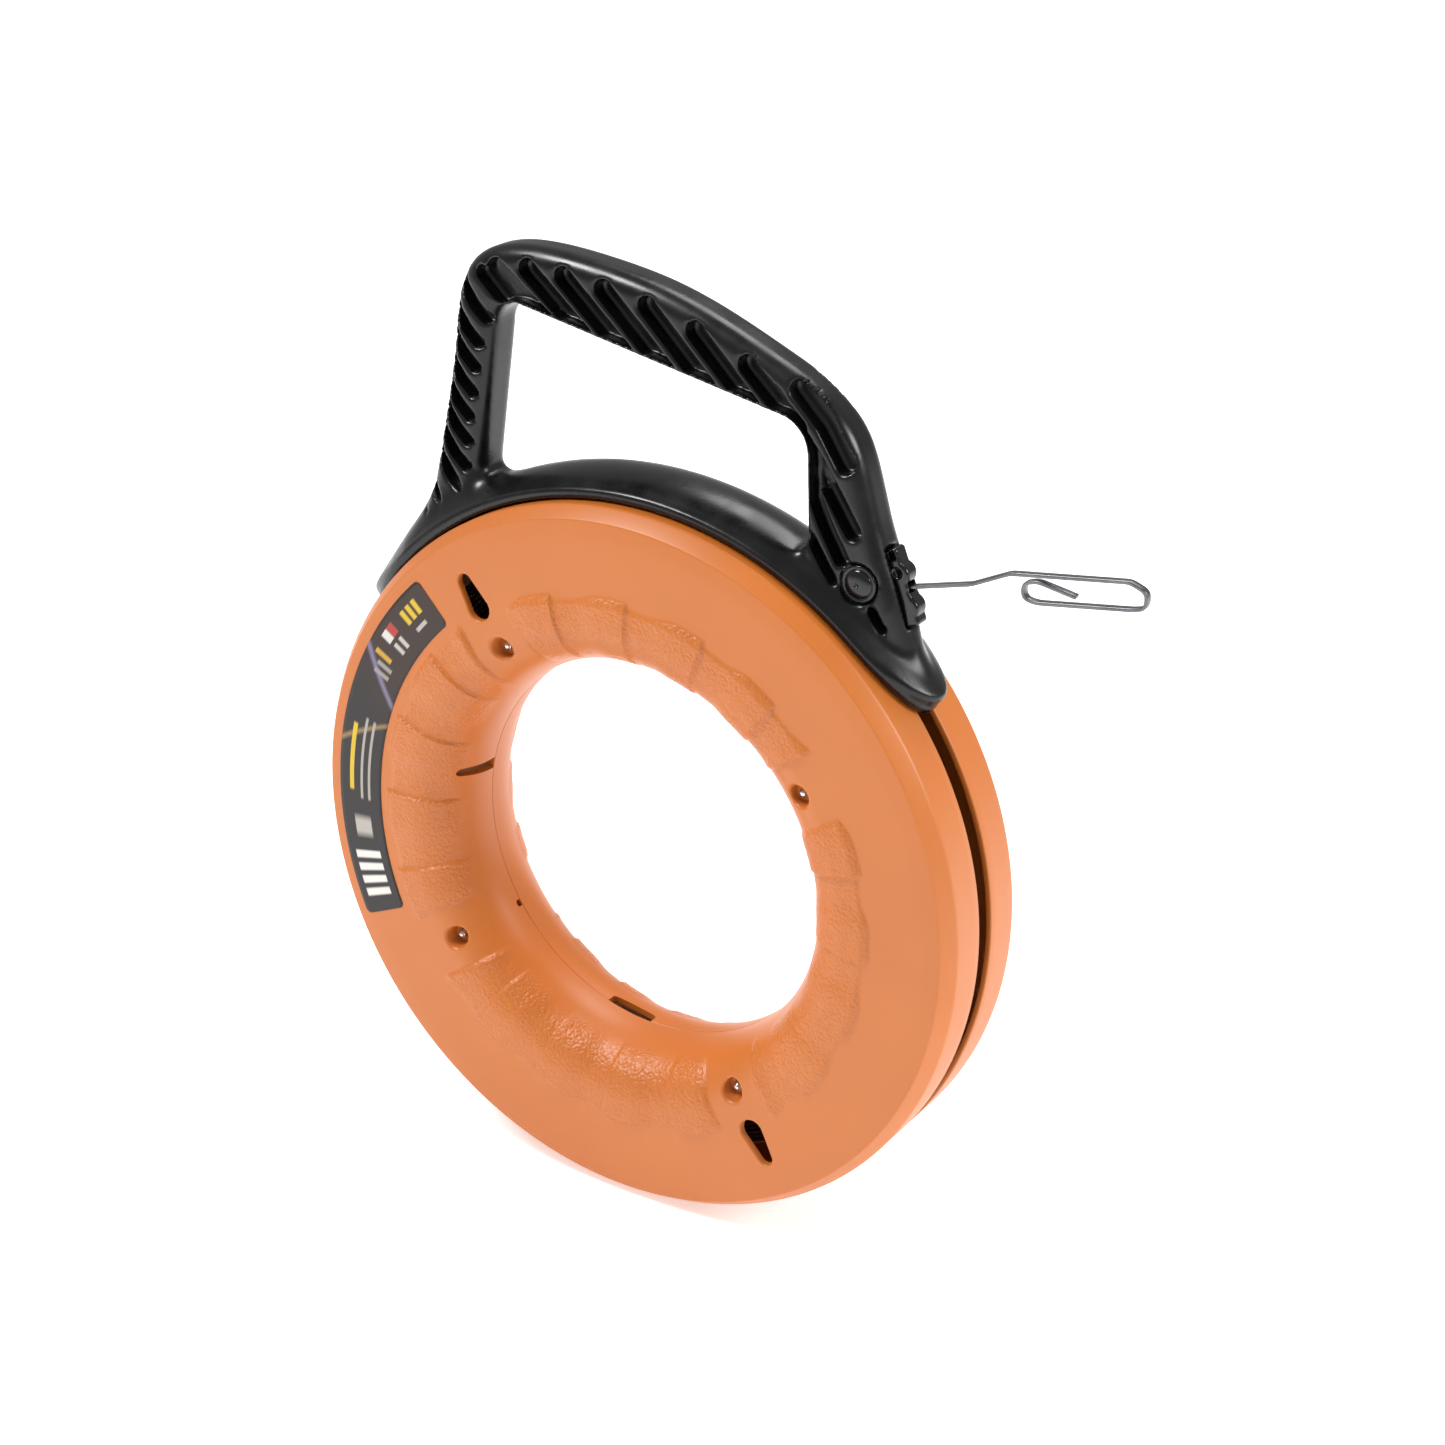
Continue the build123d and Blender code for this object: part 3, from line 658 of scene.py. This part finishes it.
# The pockets of one side, each as a bent line and a width. Those of the bar start a set distance under
# the handle's edge and run past the opening; those of the rear leg repeat one bend at ten places.
def handlePockets():
    p = pocket
    outline = handleOutline()[:p["gripPoints"]]
    pockets = []
    for k in range(p["barCount"]):
        start, pitch, growth = p["barTop"]
        x = start + pitch * k + growth * k * k
        near = outline[np.argmin(np.abs(outline[:, 0] - x) + (outline[:, 1] < p["gripLevel"]) * 1e3)]
        top = np.array([x, near[1] - p["barEdge"]])
        footX, footPitch, footZ, footDrop = p["barFoot"]
        foot = np.array([footX + footPitch * k, footZ + footDrop * k])
        pockets.append(([top, foot + (foot - top) * p["barPast"]], p["barWidth"]))
    corner, *front = [(line, width) for width, line in p["single"]]
    pockets.append(corner)
    for x, z in p["leg"]:
        pockets.append(([(x + dx, z + dz) for dx, dz in p["legBend"]], p["legWidth"]))
    return pockets + front


# the outer edge of the handle as a closed outline, spline over the top and an arc inside the saddle
def handleOutline():
    h = handle
    edge = cubicLine(h["rearLeg"] + h["grip"] + h["frontLeg"] + h["prow"], 560)
    start, end = np.arctan2(edge[-1, 1], edge[-1, 0]), np.arctan2(edge[0, 1], edge[0, 0])
    turn = np.linspace(start, end, 80)
    under = (h["saddle"][0] + 1.5) * np.stack([np.cos(turn), np.sin(turn)], axis=1)
    return np.concatenate([edge, under])


# the grip opening with rounded corners, closed below by the crown of the saddle
def openingOutline():
    return roundedOutline(handle["opening"])


# distance outside the saddle's boat-shaped plan, from a bow: half an ellipse past the bow angle
def bowDistance(x, z, y, bow, half, sign):
    angle, length, _ = bow
    turn = np.radians(angle)
    along = sign * (x * np.sin(turn) - z * np.cos(turn))
    u = np.maximum(along, 0)
    ring = np.hypot(u / length, y / half)
    slope = np.hypot(u / length ** 2, y / half ** 2) / np.maximum(ring, 1e-6)
    return (ring - 1) / np.maximum(slope, 1e-6)


# The handle as one field of distances, in a box of grid points. The grip is the side outline carried
# across with a large radius on its outer edge and a small one at the opening, and it narrows towards
# both feet. The saddle is a barrel with a boat-shaped plan and a bead round its edge. The legs run into
# it with a fillet, and the pockets, the rivet's seat, the guide's place and the tape's passage are cut.
def handleField(x, y, z):
    h = handle
    plane = (x[:, 0, :], z[:, 0, :])
    outer = outlineDistance(*plane, handleOutline())[:, None, :]
    opening = outlineDistance(*plane, openingOutline())[:, None, :]
    half = np.full(plane[0].shape, h["gripHalf"])
    for sign, (angle, _, taper) in ((1, h["front"]), (-1, h["rear"])):
        turn = np.radians(angle)
        along = sign * (plane[0] * np.sin(turn) - plane[1] * np.cos(turn))
        ramp = np.clip((along - 2) / (taper - 2), 0, 1)
        half = half - (h["gripHalf"] - h["footHalf"]) * ramp
    side = np.abs(y) - half[:, None, :]
    grip = np.maximum(roundMax(outer, side, np.minimum(h["gripRound"], half[:, None, :])),
                      roundMax(-opening, side, np.interp(x, *np.transpose(h["innerRound"]))))
    radius = np.hypot(x, z)
    inside, edge, crown, wide = h["saddle"]
    top = radius - (edge + (crown - edge) * (1 - (y / wide) ** 2))
    plan = np.maximum(bowDistance(x, z, y, h["front"], wide, 1),
                      bowDistance(x, z, y, h["rear"], wide, -1))
    saddle = roundMax(roundMax(top, plan, 1.2), inside - radius, 0.4)
    beadRadius, beadIn, beadSize = h["bead"]
    bead = np.hypot(radius - beadRadius, plan + beadIn) - beadSize
    saddle = softMin(saddle, bead, 1.0)
    cut = np.full(plane[0].shape, 1e9)
    for line, width in handlePockets():
        cut = np.minimum(cut, slotDistance(*plane, line, width))
    cut = np.maximum(cut[:, None, :], np.maximum(h["lowWall"] - opening, outer + h["outerWall"]))
    pockets = roundMax(np.broadcast_to(cut, x.shape), h["shell"] - np.abs(y), 0.8)
    px, pz = h["rivet"]
    rivet = np.hypot(x - px, z - pz)
    boss = np.maximum(rivet - h["bossRadius"], np.abs(y) - h["bossLevel"])
    grip = softCut(grip, pockets, h["pocketEdge"])
    body = softMin(grip, saddle, np.interp(x, h["filletAt"], h["legFillet"]))
    body = softMin(body, boss, 1.2)
    body = softCut(body, np.maximum(rivet - h["recess"], h["bossLevel"] - np.abs(y)), 0.6)
    webHalf, shoeHalf, shoeIn, shoeOut, start, end = h["web"]
    turn = np.degrees(np.arctan2(z, x))
    ends = np.maximum(start - turn, turn - end) * np.pi / 180 * radius
    web = np.maximum(np.abs(radius - (shoeOut + inside) / 2) - (inside - shoeOut) / 2 - 1,
                     np.abs(y) - webHalf)
    shoe = roundMax(np.abs(radius - (shoeIn + shoeOut) / 2) - (shoeOut - shoeIn) / 2,
                    np.abs(y) - shoeHalf, 1.0)
    body = np.minimum(body, np.maximum(np.minimum(web, shoe), ends))
    gx, gy = guidePlace(x, z)
    cx, cy, length, height = h["cutout"]
    place = roundMax(np.abs(gx - cx) - length / 2, np.abs(gy - cy) - height / 2, 1.5)
    body = softCut(body, np.maximum(place, np.abs(y) - h["cutoutHalf"]), 0.5)
    passage, run = passageDistance(x, y, z)
    return softCut(body, np.maximum(passage, -run - h["channelLength"]), 0.3)


# distance to the tape's passage, a square bore that leans through the exit point, and the place along it
def passageDistance(x, y, z):
    ex, ez = handle["exit"]
    lean = np.radians(handle["exitAngle"])
    rise = -(x - ex) * np.sin(lean) + (z - ez) * np.cos(lean)
    run = (x - ex) * np.cos(lean) + (z - ez) * np.sin(lean)
    return np.maximum(np.abs(rise) - handle["channel"][0], np.abs(y) - handle["channel"][1]), run


# place in the guide's own frame: first number down along the ridge, second outwards
def guidePlace(x, z):
    ox, oz = handle["guideOrigin"]
    turn = np.radians(handle["guideTurn"])
    return ((x - ox) * np.cos(turn) + (z - oz) * np.sin(turn),
            -(x - ox) * np.sin(turn) + (z - oz) * np.cos(turn))


# a piece from a field function over a box, worked out on grid points one step apart
def fieldPiece(name, field, grid):
    low, step = grid["low"], grid["step"]
    axes = [np.arange(a, b + step, step) for a, b in zip(low, grid["high"])]
    x, y, z = np.meshgrid(*axes, indexing="ij")
    points, quads = fieldSurface(field(x, y, z).astype(np.float32), np.array(low), step)
    return newPiece(name, points, quads)


gripPlastic = dict(color="#08080A", rough=0.26, gloss=0.34, grain=0.5, grainDepth=0.010, cloud=14.0)


# glass-filled nylon, injection moulded in a polished tool: near-black with a soft satin shine that is
# a little cloudy from handling
def mouldedGrip():
    p = gripPlastic
    material, tree, place = newMaterial("blackNylonSatin")
    grain = noisePattern(tree, place, p["grain"])
    cloud = noisePattern(tree, place, p["cloud"], 4.0)
    rough = addNode(tree, "ShaderNodeMapRange",
                    {"Value": cloud.outputs["Fac"], "From Min": 0.35, "From Max": 0.65,
                     "To Min": p["rough"] - 0.05, "To Max": p["rough"] + 0.08})
    return finishMaterial(material, {
        "Base Color": linear(p["color"]), "Roughness": rough.outputs["Result"], "IOR": 1.53,
        "Specular IOR Level": p["gloss"], "Normal": bumpNormal(tree, grain.outputs["Fac"], p["grainDepth"])})


gripBlack = mouldedGrip()
finishPiece(fieldPiece("gripHandle", handleField, handle), gripBlack, "handle", "black_handle", "handle")


guide = dict(
    step=0.36, low=(90.0, -7.2, 116.0), high=(134.0, 7.2, 156.0),       # of the grid
    half=3.8, block=(15.5, 0.9, 30.6, 6.4), eyeNose=(10.5, 1.4, 4.6), lowNose=(23.5, 0.8, 4.8),
    eye=(9.6, 1.4, 1.9), square=(2.9, 1.0, 3.4, 4.0), squareFloor=2.0, groove=(17.6, 5.0, 1.3),
    tongue=(105.5, 141.0), tongueRadius=6.2, tongueHalf=3.2,
)


# The guide insert as a field: a rounded block with two round noses, a through eye, a square pocket in
# each side, a notch between the noses, the tongue that the rivet holds, and the tape's passage.
def guideField(x, y, z):
    g = guide
    gx, gy = guidePlace(x, z)
    cx, cy, length, height = g["block"]
    plan = roundMax(np.abs(gx - cx) - length / 2, np.abs(gy - cy) - height / 2, 1.5)
    for nx, ny, radius in (g["eyeNose"], g["lowNose"]):
        plan = np.minimum(plan, np.hypot(gx - nx, gy - ny) - radius)
    notchX, notchY, notchRadius = g["groove"]
    plan = softCut(plan, np.hypot(gx - notchX, gy - notchY) - notchRadius, 0.5)
    body = roundMax(plan, np.abs(y) - g["half"], 1.3)
    ex, ey, eyeRadius = g["eye"]
    body = softCut(body, np.hypot(gx - ex, gy - ey) - eyeRadius, 0.8)
    sx, sy, wide, tall = g["square"]
    pocket = roundMax(np.abs(gx - sx) - wide / 2, np.abs(gy - sy) - tall / 2, 0.6)
    body = softCut(body, np.maximum(pocket, g["squareFloor"] - np.abs(y)), 0.5)
    px, pz = handle["rivet"]
    tongue = slotDistance(x, z, [(px, pz), g["tongue"]], 2 * g["tongueRadius"])
    body = np.minimum(body, roundMax(tongue, np.abs(y) - g["tongueHalf"], 0.4))
    return softCut(body, passageDistance(x, y, z)[0], 0.4)


# a closed solid of revolution about an axis along Y: rows of (radius, level), ends closed by fans
def turnedShell(profile, centre, side, count=64):
    t = np.arange(count) / count * fullTurn
    rows = [np.stack([centre[0] + r * np.cos(t), np.full(count, side * level),
                      centre[1] + r * np.sin(t)], axis=1) for r, level in profile]
    return ringShell(np.array(rows), flip=side > 0)


rivet = dict(seat=8.6, radius=7.4, height=2.8, shank=2.0)


# a rivet's dome: flange, a fine groove, then a low dome, a quarter ellipse with a small dimple in its
# crown, and at the front the shank through to the other seat
def rivetShell(side, withShank):
    p = rivet
    s, r, h = p["seat"], p["radius"], p["height"]
    turn = np.linspace(0, np.pi / 2, 14)
    flange = [(r - 0.35, s), (r, s + 0.3), (r, s + 0.75), (r - 0.3, s + 1.1), (r - 1.1, s + 1.2),
              (r - 1.35, s + 1.0)]
    dome = [(1.0 + (r - 2.6) * np.cos(t), s + 1.0 + (h - 1.0) * np.sin(t)) for t in turn]
    dimple = [(0.8, s + h - 0.1), (0.55, s + h - 0.5), (0.2, s + h - 0.6)]
    stem = [(p["shank"] - 0.2, s)]
    if withShank:
        stem = [(p["shank"] - 0.2, -s), (p["shank"], -s + 0.3), (p["shank"], s)]
    return turnedShell(stem + flange + dome + dimple, handle["rivet"], side)


# acetal, moulded in a polished tool: black and glossier than the grip
def mouldedAcetal():
    material, tree, place = newMaterial("blackAcetalGloss")
    grain = noisePattern(tree, place, 0.6)
    return finishMaterial(material, {"Base Color": linear("#0B0B0C"), "Roughness": 0.16, "IOR": 1.48,
                                     "Normal": bumpNormal(tree, grain.outputs["Fac"], 0.006)})


acetal = mouldedAcetal()
finishPiece(fieldPiece("guideInsert", guideField, guide), acetal, "handle", "black_guide", "tape_guide")
finishPiece(newPiece("rivetFront", *rivetShell(-1, True)), acetal, "handle", "black_guide", "guide_rivet")
finishPiece(newPiece("rivetRear", *rivetShell(1, False)), acetal, "handle", "black_guide", "guide_rivet_cap")
print("handle done")


tape = dict(
    width=3.2, thickness=1.5, corner=0.35, bend=2.6, ease=6, tail=36.0, straight=28.5,
    hook=[(156.5, 151.8), (203.5, 158.2), (210.4, 155.6), (210.2, 149.4), (204.5, 148.0), (168, 142.8),
          (162.2, 143.3), (162.0, 149.6), (168, 151.0), (183, 148.2)],
    stacks=(-3.2, 0.0, 3.2), turns=9, coilStart=115.4, coilPitch=2.06, wander=0.16,
)


# section of the flat strip as (across thickness, across width), corners eased
def stripSection():
    a, b, c = tape["thickness"] / 2, tape["width"] / 2, tape["corner"]
    right = np.array([(a - c, -b), (a - 0.1, -b + 0.1), (a, -b + c), (a, b - c), (a - 0.1, b - 0.1),
                      (a - c, b)])
    return np.concatenate([right, -right])


# the strip carried along a line in the side plane, at a level along Y, its flat side across the bend
def stripShell(line, level):
    ahead = np.gradient(line, axis=0)
    ahead /= np.linalg.norm(ahead, axis=1, keepdims=True)
    across = np.stack([-ahead[:, 1], ahead[:, 0]], axis=1)
    section = stripSection()
    x = line[:, None, 0] + across[:, None, 0] * section[None, :, 0]
    z = line[:, None, 1] + across[:, None, 1] * section[None, :, 0]
    y = level + np.broadcast_to(section[None, :, 1], x.shape)
    return ringShell(np.stack([x, y, z], axis=-1))


# straight runs joined by arcs of one radius, resampled evenly and eased so that the bends run out softly
def bentLine(points, radius):
    line = [np.array(points[:1], float)]
    for before, corner, after in zip(points, points[1:], points[2:]):
        line.append(roundCorner(before, corner, after, radius, 9))
    line.append(np.array(points[-1:], float))
    line = np.concatenate(line)
    reach = np.concatenate([[0], np.cumsum(np.linalg.norm(np.diff(line, axis=0), axis=1))])
    along = np.linspace(0, reach[-1], int(reach[-1] / 0.6))
    dense = np.stack([np.interp(along, reach, line[:, k]) for k in range(2)], axis=1)
    for _ in range(tape["ease"]):
        dense[1:-1] = (dense[:-2] + 2 * dense[1:-1] + dense[2:]) / 4
    return dense


# the leading end: a straight run through the exit point, then the corners of the hook
def buildLeader():
    lean = np.radians(handle["exitAngle"])
    along, start = np.array([np.cos(lean), np.sin(lean)]), np.array(handle["exit"])
    points = [tuple(start - along * tape["tail"]), tuple(start + along * tape["straight"]), *tape["hook"]]
    return newPiece("tapeHook", *stripShell(bentLine(points, tape["bend"]), 0.0))


# turns of the strip side by side: in each stack the radius grows by one pitch a turn, with a slow
# wander so that no two turns look alike
def buildCoil():
    shells = []
    for k, level in enumerate(tape["stacks"]):
        t = np.linspace(0, tape["turns"], tape["turns"] * 110)
        radius = tape["coilStart"] + tape["coilPitch"] * t * 0.93
        radius = radius + tape["wander"] * np.sin(5.3 * t + 2 * k) * np.cos(2.1 * t + k)
        turn = (t + 0.31 * k) * fullTurn
        shells.append(stripShell(np.stack([radius * np.cos(turn), radius * np.sin(turn)], axis=1), level))
    return newPiece("woundTape", *joinShells(shells))


steel = dict(color="#7C7D7F", dark="#515254", rough=0.33, brush=0.35, brushDepth=0.010)


# spring steel strip, rolled and blued: a dark grey metal with a soft sheen and fine rolling lines
def rolledSteel():
    p = steel
    material, tree, place = newMaterial("springSteelRolled")
    lines = addNode(tree, "ShaderNodeMapping", {"Vector": place, "Scale": (0.08, 1.0, 0.08)})
    scratch = noisePattern(tree, lines.outputs["Vector"], p["brush"], 3.0)
    patch = noisePattern(tree, place, 9)
    tone = mixColors(tree, patch.outputs["Fac"], linear(p["color"]), linear(p["dark"]))
    return finishMaterial(material, {
        "Base Color": tone, "Metallic": 1.0, "Roughness": p["rough"],
        "Normal": bumpNormal(tree, scratch.outputs["Fac"], p["brushDepth"])})


springSteel = rolledSteel()
finishPiece(buildLeader(), springSteel, "tape", "tape_steel", "tape_leader")
finishPiece(buildCoil(), springSteel, "reel", "tape_steel", "tape_coil")
print("tape done")


screw = dict(shank=2.0, pitch=1.4, depth=0.28, tip=-24.9, tipRadius=1.25, seat=20.0,
             headRadius=4.0, headHeight=2.8, crossLength=2.2, crossHalf=0.5, crossDepth=1.3)


# One screw as a single surface round its own axis. Along the shank the radius is the core plus a
# triangle wave of level / pitch + turn, which makes the thread; the head is a pan, and its crown sinks
# where the distance to a cross is small.
def screwShell(angle, count=48):
    p = screw
    t = np.arange(count) / count * fullTurn
    levels = np.arange(p["tip"] + 0.5, p["seat"] - 0.6, 0.14)
    wave = np.abs(((levels[:, None] / p["pitch"] + t[None, :] / fullTurn) % 1.0) * 2 - 1)
    cut = easeStep(levels, p["tip"] + 0.4, p["tip"] + 1.6)[:, None]
    groove = p["depth"] * (1 - np.clip(wave * 1.6 - 0.3, 0, 1))
    radius = p["tipRadius"] + (p["shank"] - groove - p["tipRadius"]) * cut
    rows = [(np.full(count, p["tipRadius"] - 0.35), np.full(count, p["tip"]))]
    rows += [(r, np.full(count, level)) for r, level in zip(radius, levels)]
    head = p["headRadius"]
    rows += [(np.full(count, r), np.full(count, p["seat"] + level)) for r, level in
             ((2.0, -0.3), (2.2, 0.0), (head - 0.15, 0.0), (head, 0.15), (head, 0.9))]
    for share in np.linspace(0.05, 0.97, 26):
        r = head * np.cos(share * np.pi / 2)
        level = p["seat"] + 0.9 + (p["headHeight"] - 0.9) * np.sin(share * np.pi / 2)
        u, v = np.abs(r * np.cos(t)), np.abs(r * np.sin(t))
        arm = np.minimum(np.maximum(u - p["crossLength"], v - p["crossHalf"]),
                         np.maximum(v - p["crossLength"], u - p["crossHalf"]))
        rows.append((np.full(count, r), level - p["crossDepth"] * (1 - easeStep(arm, -0.15, 0.15))))
    cx, cz = screwCentre(angle)
    rings = [np.stack([cx + r * np.cos(t), y, cz + r * np.sin(t)], axis=1) for r, y in rows]
    return ringShell(np.array(rings), flip=True)


# carbon steel, zinc plated and bright dipped: a pale mirror-like metal with slight mottling
def platedZinc():
    material, tree, place = newMaterial("zincPlatedSteel")
    mottle = noisePattern(tree, place, 0.7)
    rough = addNode(tree, "ShaderNodeMapRange",
                    {"Value": mottle.outputs["Fac"], "To Min": 0.16, "To Max": 0.34})
    return finishMaterial(material, {"Base Color": linear("#CDCFD1"), "Metallic": 1.0,
                                     "Roughness": rough.outputs["Result"]})


screws = newPiece("caseScrews", *joinShells([screwShell(a) for a in case["screwAngles"]]))
finishPiece(screws, platedZinc(), "reel", "screw_steel", "case_screws")


label = dict(inner=121.0, outer=143.0, start=132.0, end=203.0, thickness=0.2, corner=2.5)


# The sticker: a flat sector with rounded corners. Across it the radius runs between two bounds, which
# close in near both ends as the corner's quarter circle asks. Its UV runs along and across it.
def buildLabel(columns=150, rows=16):
    p = label
    middle = (p["inner"] + p["outer"]) / 2
    length = np.radians(p["end"] - p["start"]) * middle
    end = p["corner"] * (1 - np.cos(np.linspace(0, np.pi / 2, 12)))[:-1]
    along = np.concatenate([end, np.linspace(p["corner"], length - p["corner"], columns), length - end[::-1]])
    fromEnd = np.minimum(along, length - along)
    short = np.clip(p["corner"] - fromEnd, 0, p["corner"])
    trim = p["corner"] - np.sqrt(np.maximum(p["corner"] ** 2 - short ** 2, 0))
    low, high = p["inner"] + trim, p["outer"] - trim
    share = np.linspace(0, 1, rows)[:, None]
    radius = low + (high - low) * share
    turn = np.radians(p["start"]) + along[None, :] / middle
    top = np.stack([radius * np.cos(turn), np.full_like(radius, -case["face"] - p["thickness"]),
                    radius * np.sin(turn)], axis=-1)
    back = top.copy()
    back[..., 1] = -case["face"] - 0.01
    flat = np.stack([np.broadcast_to(along / length, radius.shape),
                     (radius - p["inner"]) / (p["outer"] - p["inner"])], axis=-1).reshape(-1, 2)
    n, m = radius.shape
    front = gridFaces(n, m)
    rear = gridFaces(n, m, first=n * m)[:, ::-1]
    edge = np.concatenate([np.arange(m), np.arange(1, n) * m + m - 1, (n - 1) * m + np.arange(m - 2, -1, -1),
                           np.arange(n - 2, 0, -1) * m])
    after = np.roll(edge, -1)
    side = np.stack([edge, edge + n * m, after + n * m, after], axis=1)
    quads = np.concatenate([front, rear, side])
    points = np.concatenate([top.reshape(-1, 3), back.reshape(-1, 3)])
    return newPiece("caseLabel", points, quads, uv=np.concatenate([flat, flat]))


# marks on the sticker, in rows of equal ones: along from, width, pitch, count, across from, across to,
# softness, slant and colour
labelMarks = [
    (0.00, 0.40, 0, 1, 0.0, 1.0, 0.08, 0.10, "#2C1A10"),
    (0.045, 0.015, 0.025, 3, 0.50, 0.80, 0.003, 0.0, "#C9A81C"),
    (0.055, 0.045, 0, 1, 0.28, 0.36, 0.003, 0.0, "#A9A39B"),
    (0.150, 0.026, 0, 1, 0.60, 0.84, 0.003, 0.0, "#A3312C"),
    (0.176, 0.024, 0, 1, 0.60, 0.84, 0.003, 0.0, "#C9C5BF"),
    (0.155, 0.013, 0.027, 2, 0.26, 0.52, 0.003, 0.0, "#B4AEA6"),
    (0.235, 0.015, 0, 1, 0.40, 0.80, 0.003, 0.0, "#B98F22"),
    (0.262, 0.013, 0.025, 2, 0.30, 0.66, 0.003, 0.0, "#8E8880"),
    (0.360, 0.008, 0, 1, -0.2, 1.2, 0.012, 0.12, "#8D83A6"),
    (0.425, 0.005, 0, 1, -0.2, 1.2, 0.010, -0.10, "#A98B55"),
    (0.470, 0.190, 0, 1, 0.66, 0.76, 0.004, 0.0, "#C9A81C"),
    (0.440, 0.240, 0, 1, 0.44, 0.50, 0.004, 0.0, "#9C968E"),
    (0.440, 0.240, 0, 1, 0.26, 0.32, 0.004, 0.0, "#9C968E"),
    (0.735, 0.050, 0, 1, 0.30, 0.70, 0.010, 0.0, "#A7A198"),
    (0.830, 0.020, 0.035, 4, 0.20, 0.82, 0.003, 0.0, "#D8D4CC"),
]


# 1 where a value lies between two bounds and 0 outside: its distance from the middle, mapped down from
# half the width plus the softness to half the width less it
def bandMask(tree, value, low, high, soft):
    middle, half = (low + high) / 2, (high - low) / 2
    off = addNode(tree, "ShaderNodeMath", {0: value, 1: middle}, operation="SUBTRACT")
    size = addNode(tree, "ShaderNodeMath", {0: off.outputs["Value"]}, operation="ABSOLUTE")
    bounds = {"Value": size.outputs["Value"], "From Min": half + soft, "From Max": half - soft}
    return addNode(tree, "ShaderNodeMapRange", bounds).outputs["Result"]


# vinyl film, printed and laminated: near-black with pale and gold blocks, and a soft sheen
def printedVinyl():
    material, tree, place = newMaterial("vinylFilmPrinted")
    uv = addNode(tree, "ShaderNodeUVMap", uv_map="UVMap").outputs["UV"]
    parts = addNode(tree, "ShaderNodeSeparateXYZ", {"Vector": uv})
    along, across = parts.outputs["X"], parts.outputs["Y"]
    speck = noisePattern(tree, place, 6, 3.0)
    paint = mixColors(tree, speck.outputs["Fac"], linear("#171214"), linear("#1E1715"))
    for first, width, pitch, count, low, high, soft, slant, color in labelMarks:
        lean = addNode(tree, "ShaderNodeMath", {0: across, 1: slant, 2: along}, operation="MULTIPLY_ADD")
        tall = bandMask(tree, across, low, high, soft)
        for left in (first + pitch * k for k in range(count)):
            wide = bandMask(tree, lean.outputs["Value"], left, left + width, soft)
            both = addNode(tree, "ShaderNodeMath", {0: wide, 1: tall}, operation="MULTIPLY")
            paint = mixColors(tree, both.outputs["Value"], paint, linear(color))
    return finishMaterial(material, {"Base Color": paint, "Roughness": 0.45, "IOR": 1.45})


finishPiece(buildLabel(), printedVinyl(), "reel", "label_film", "label")
print("small parts done")
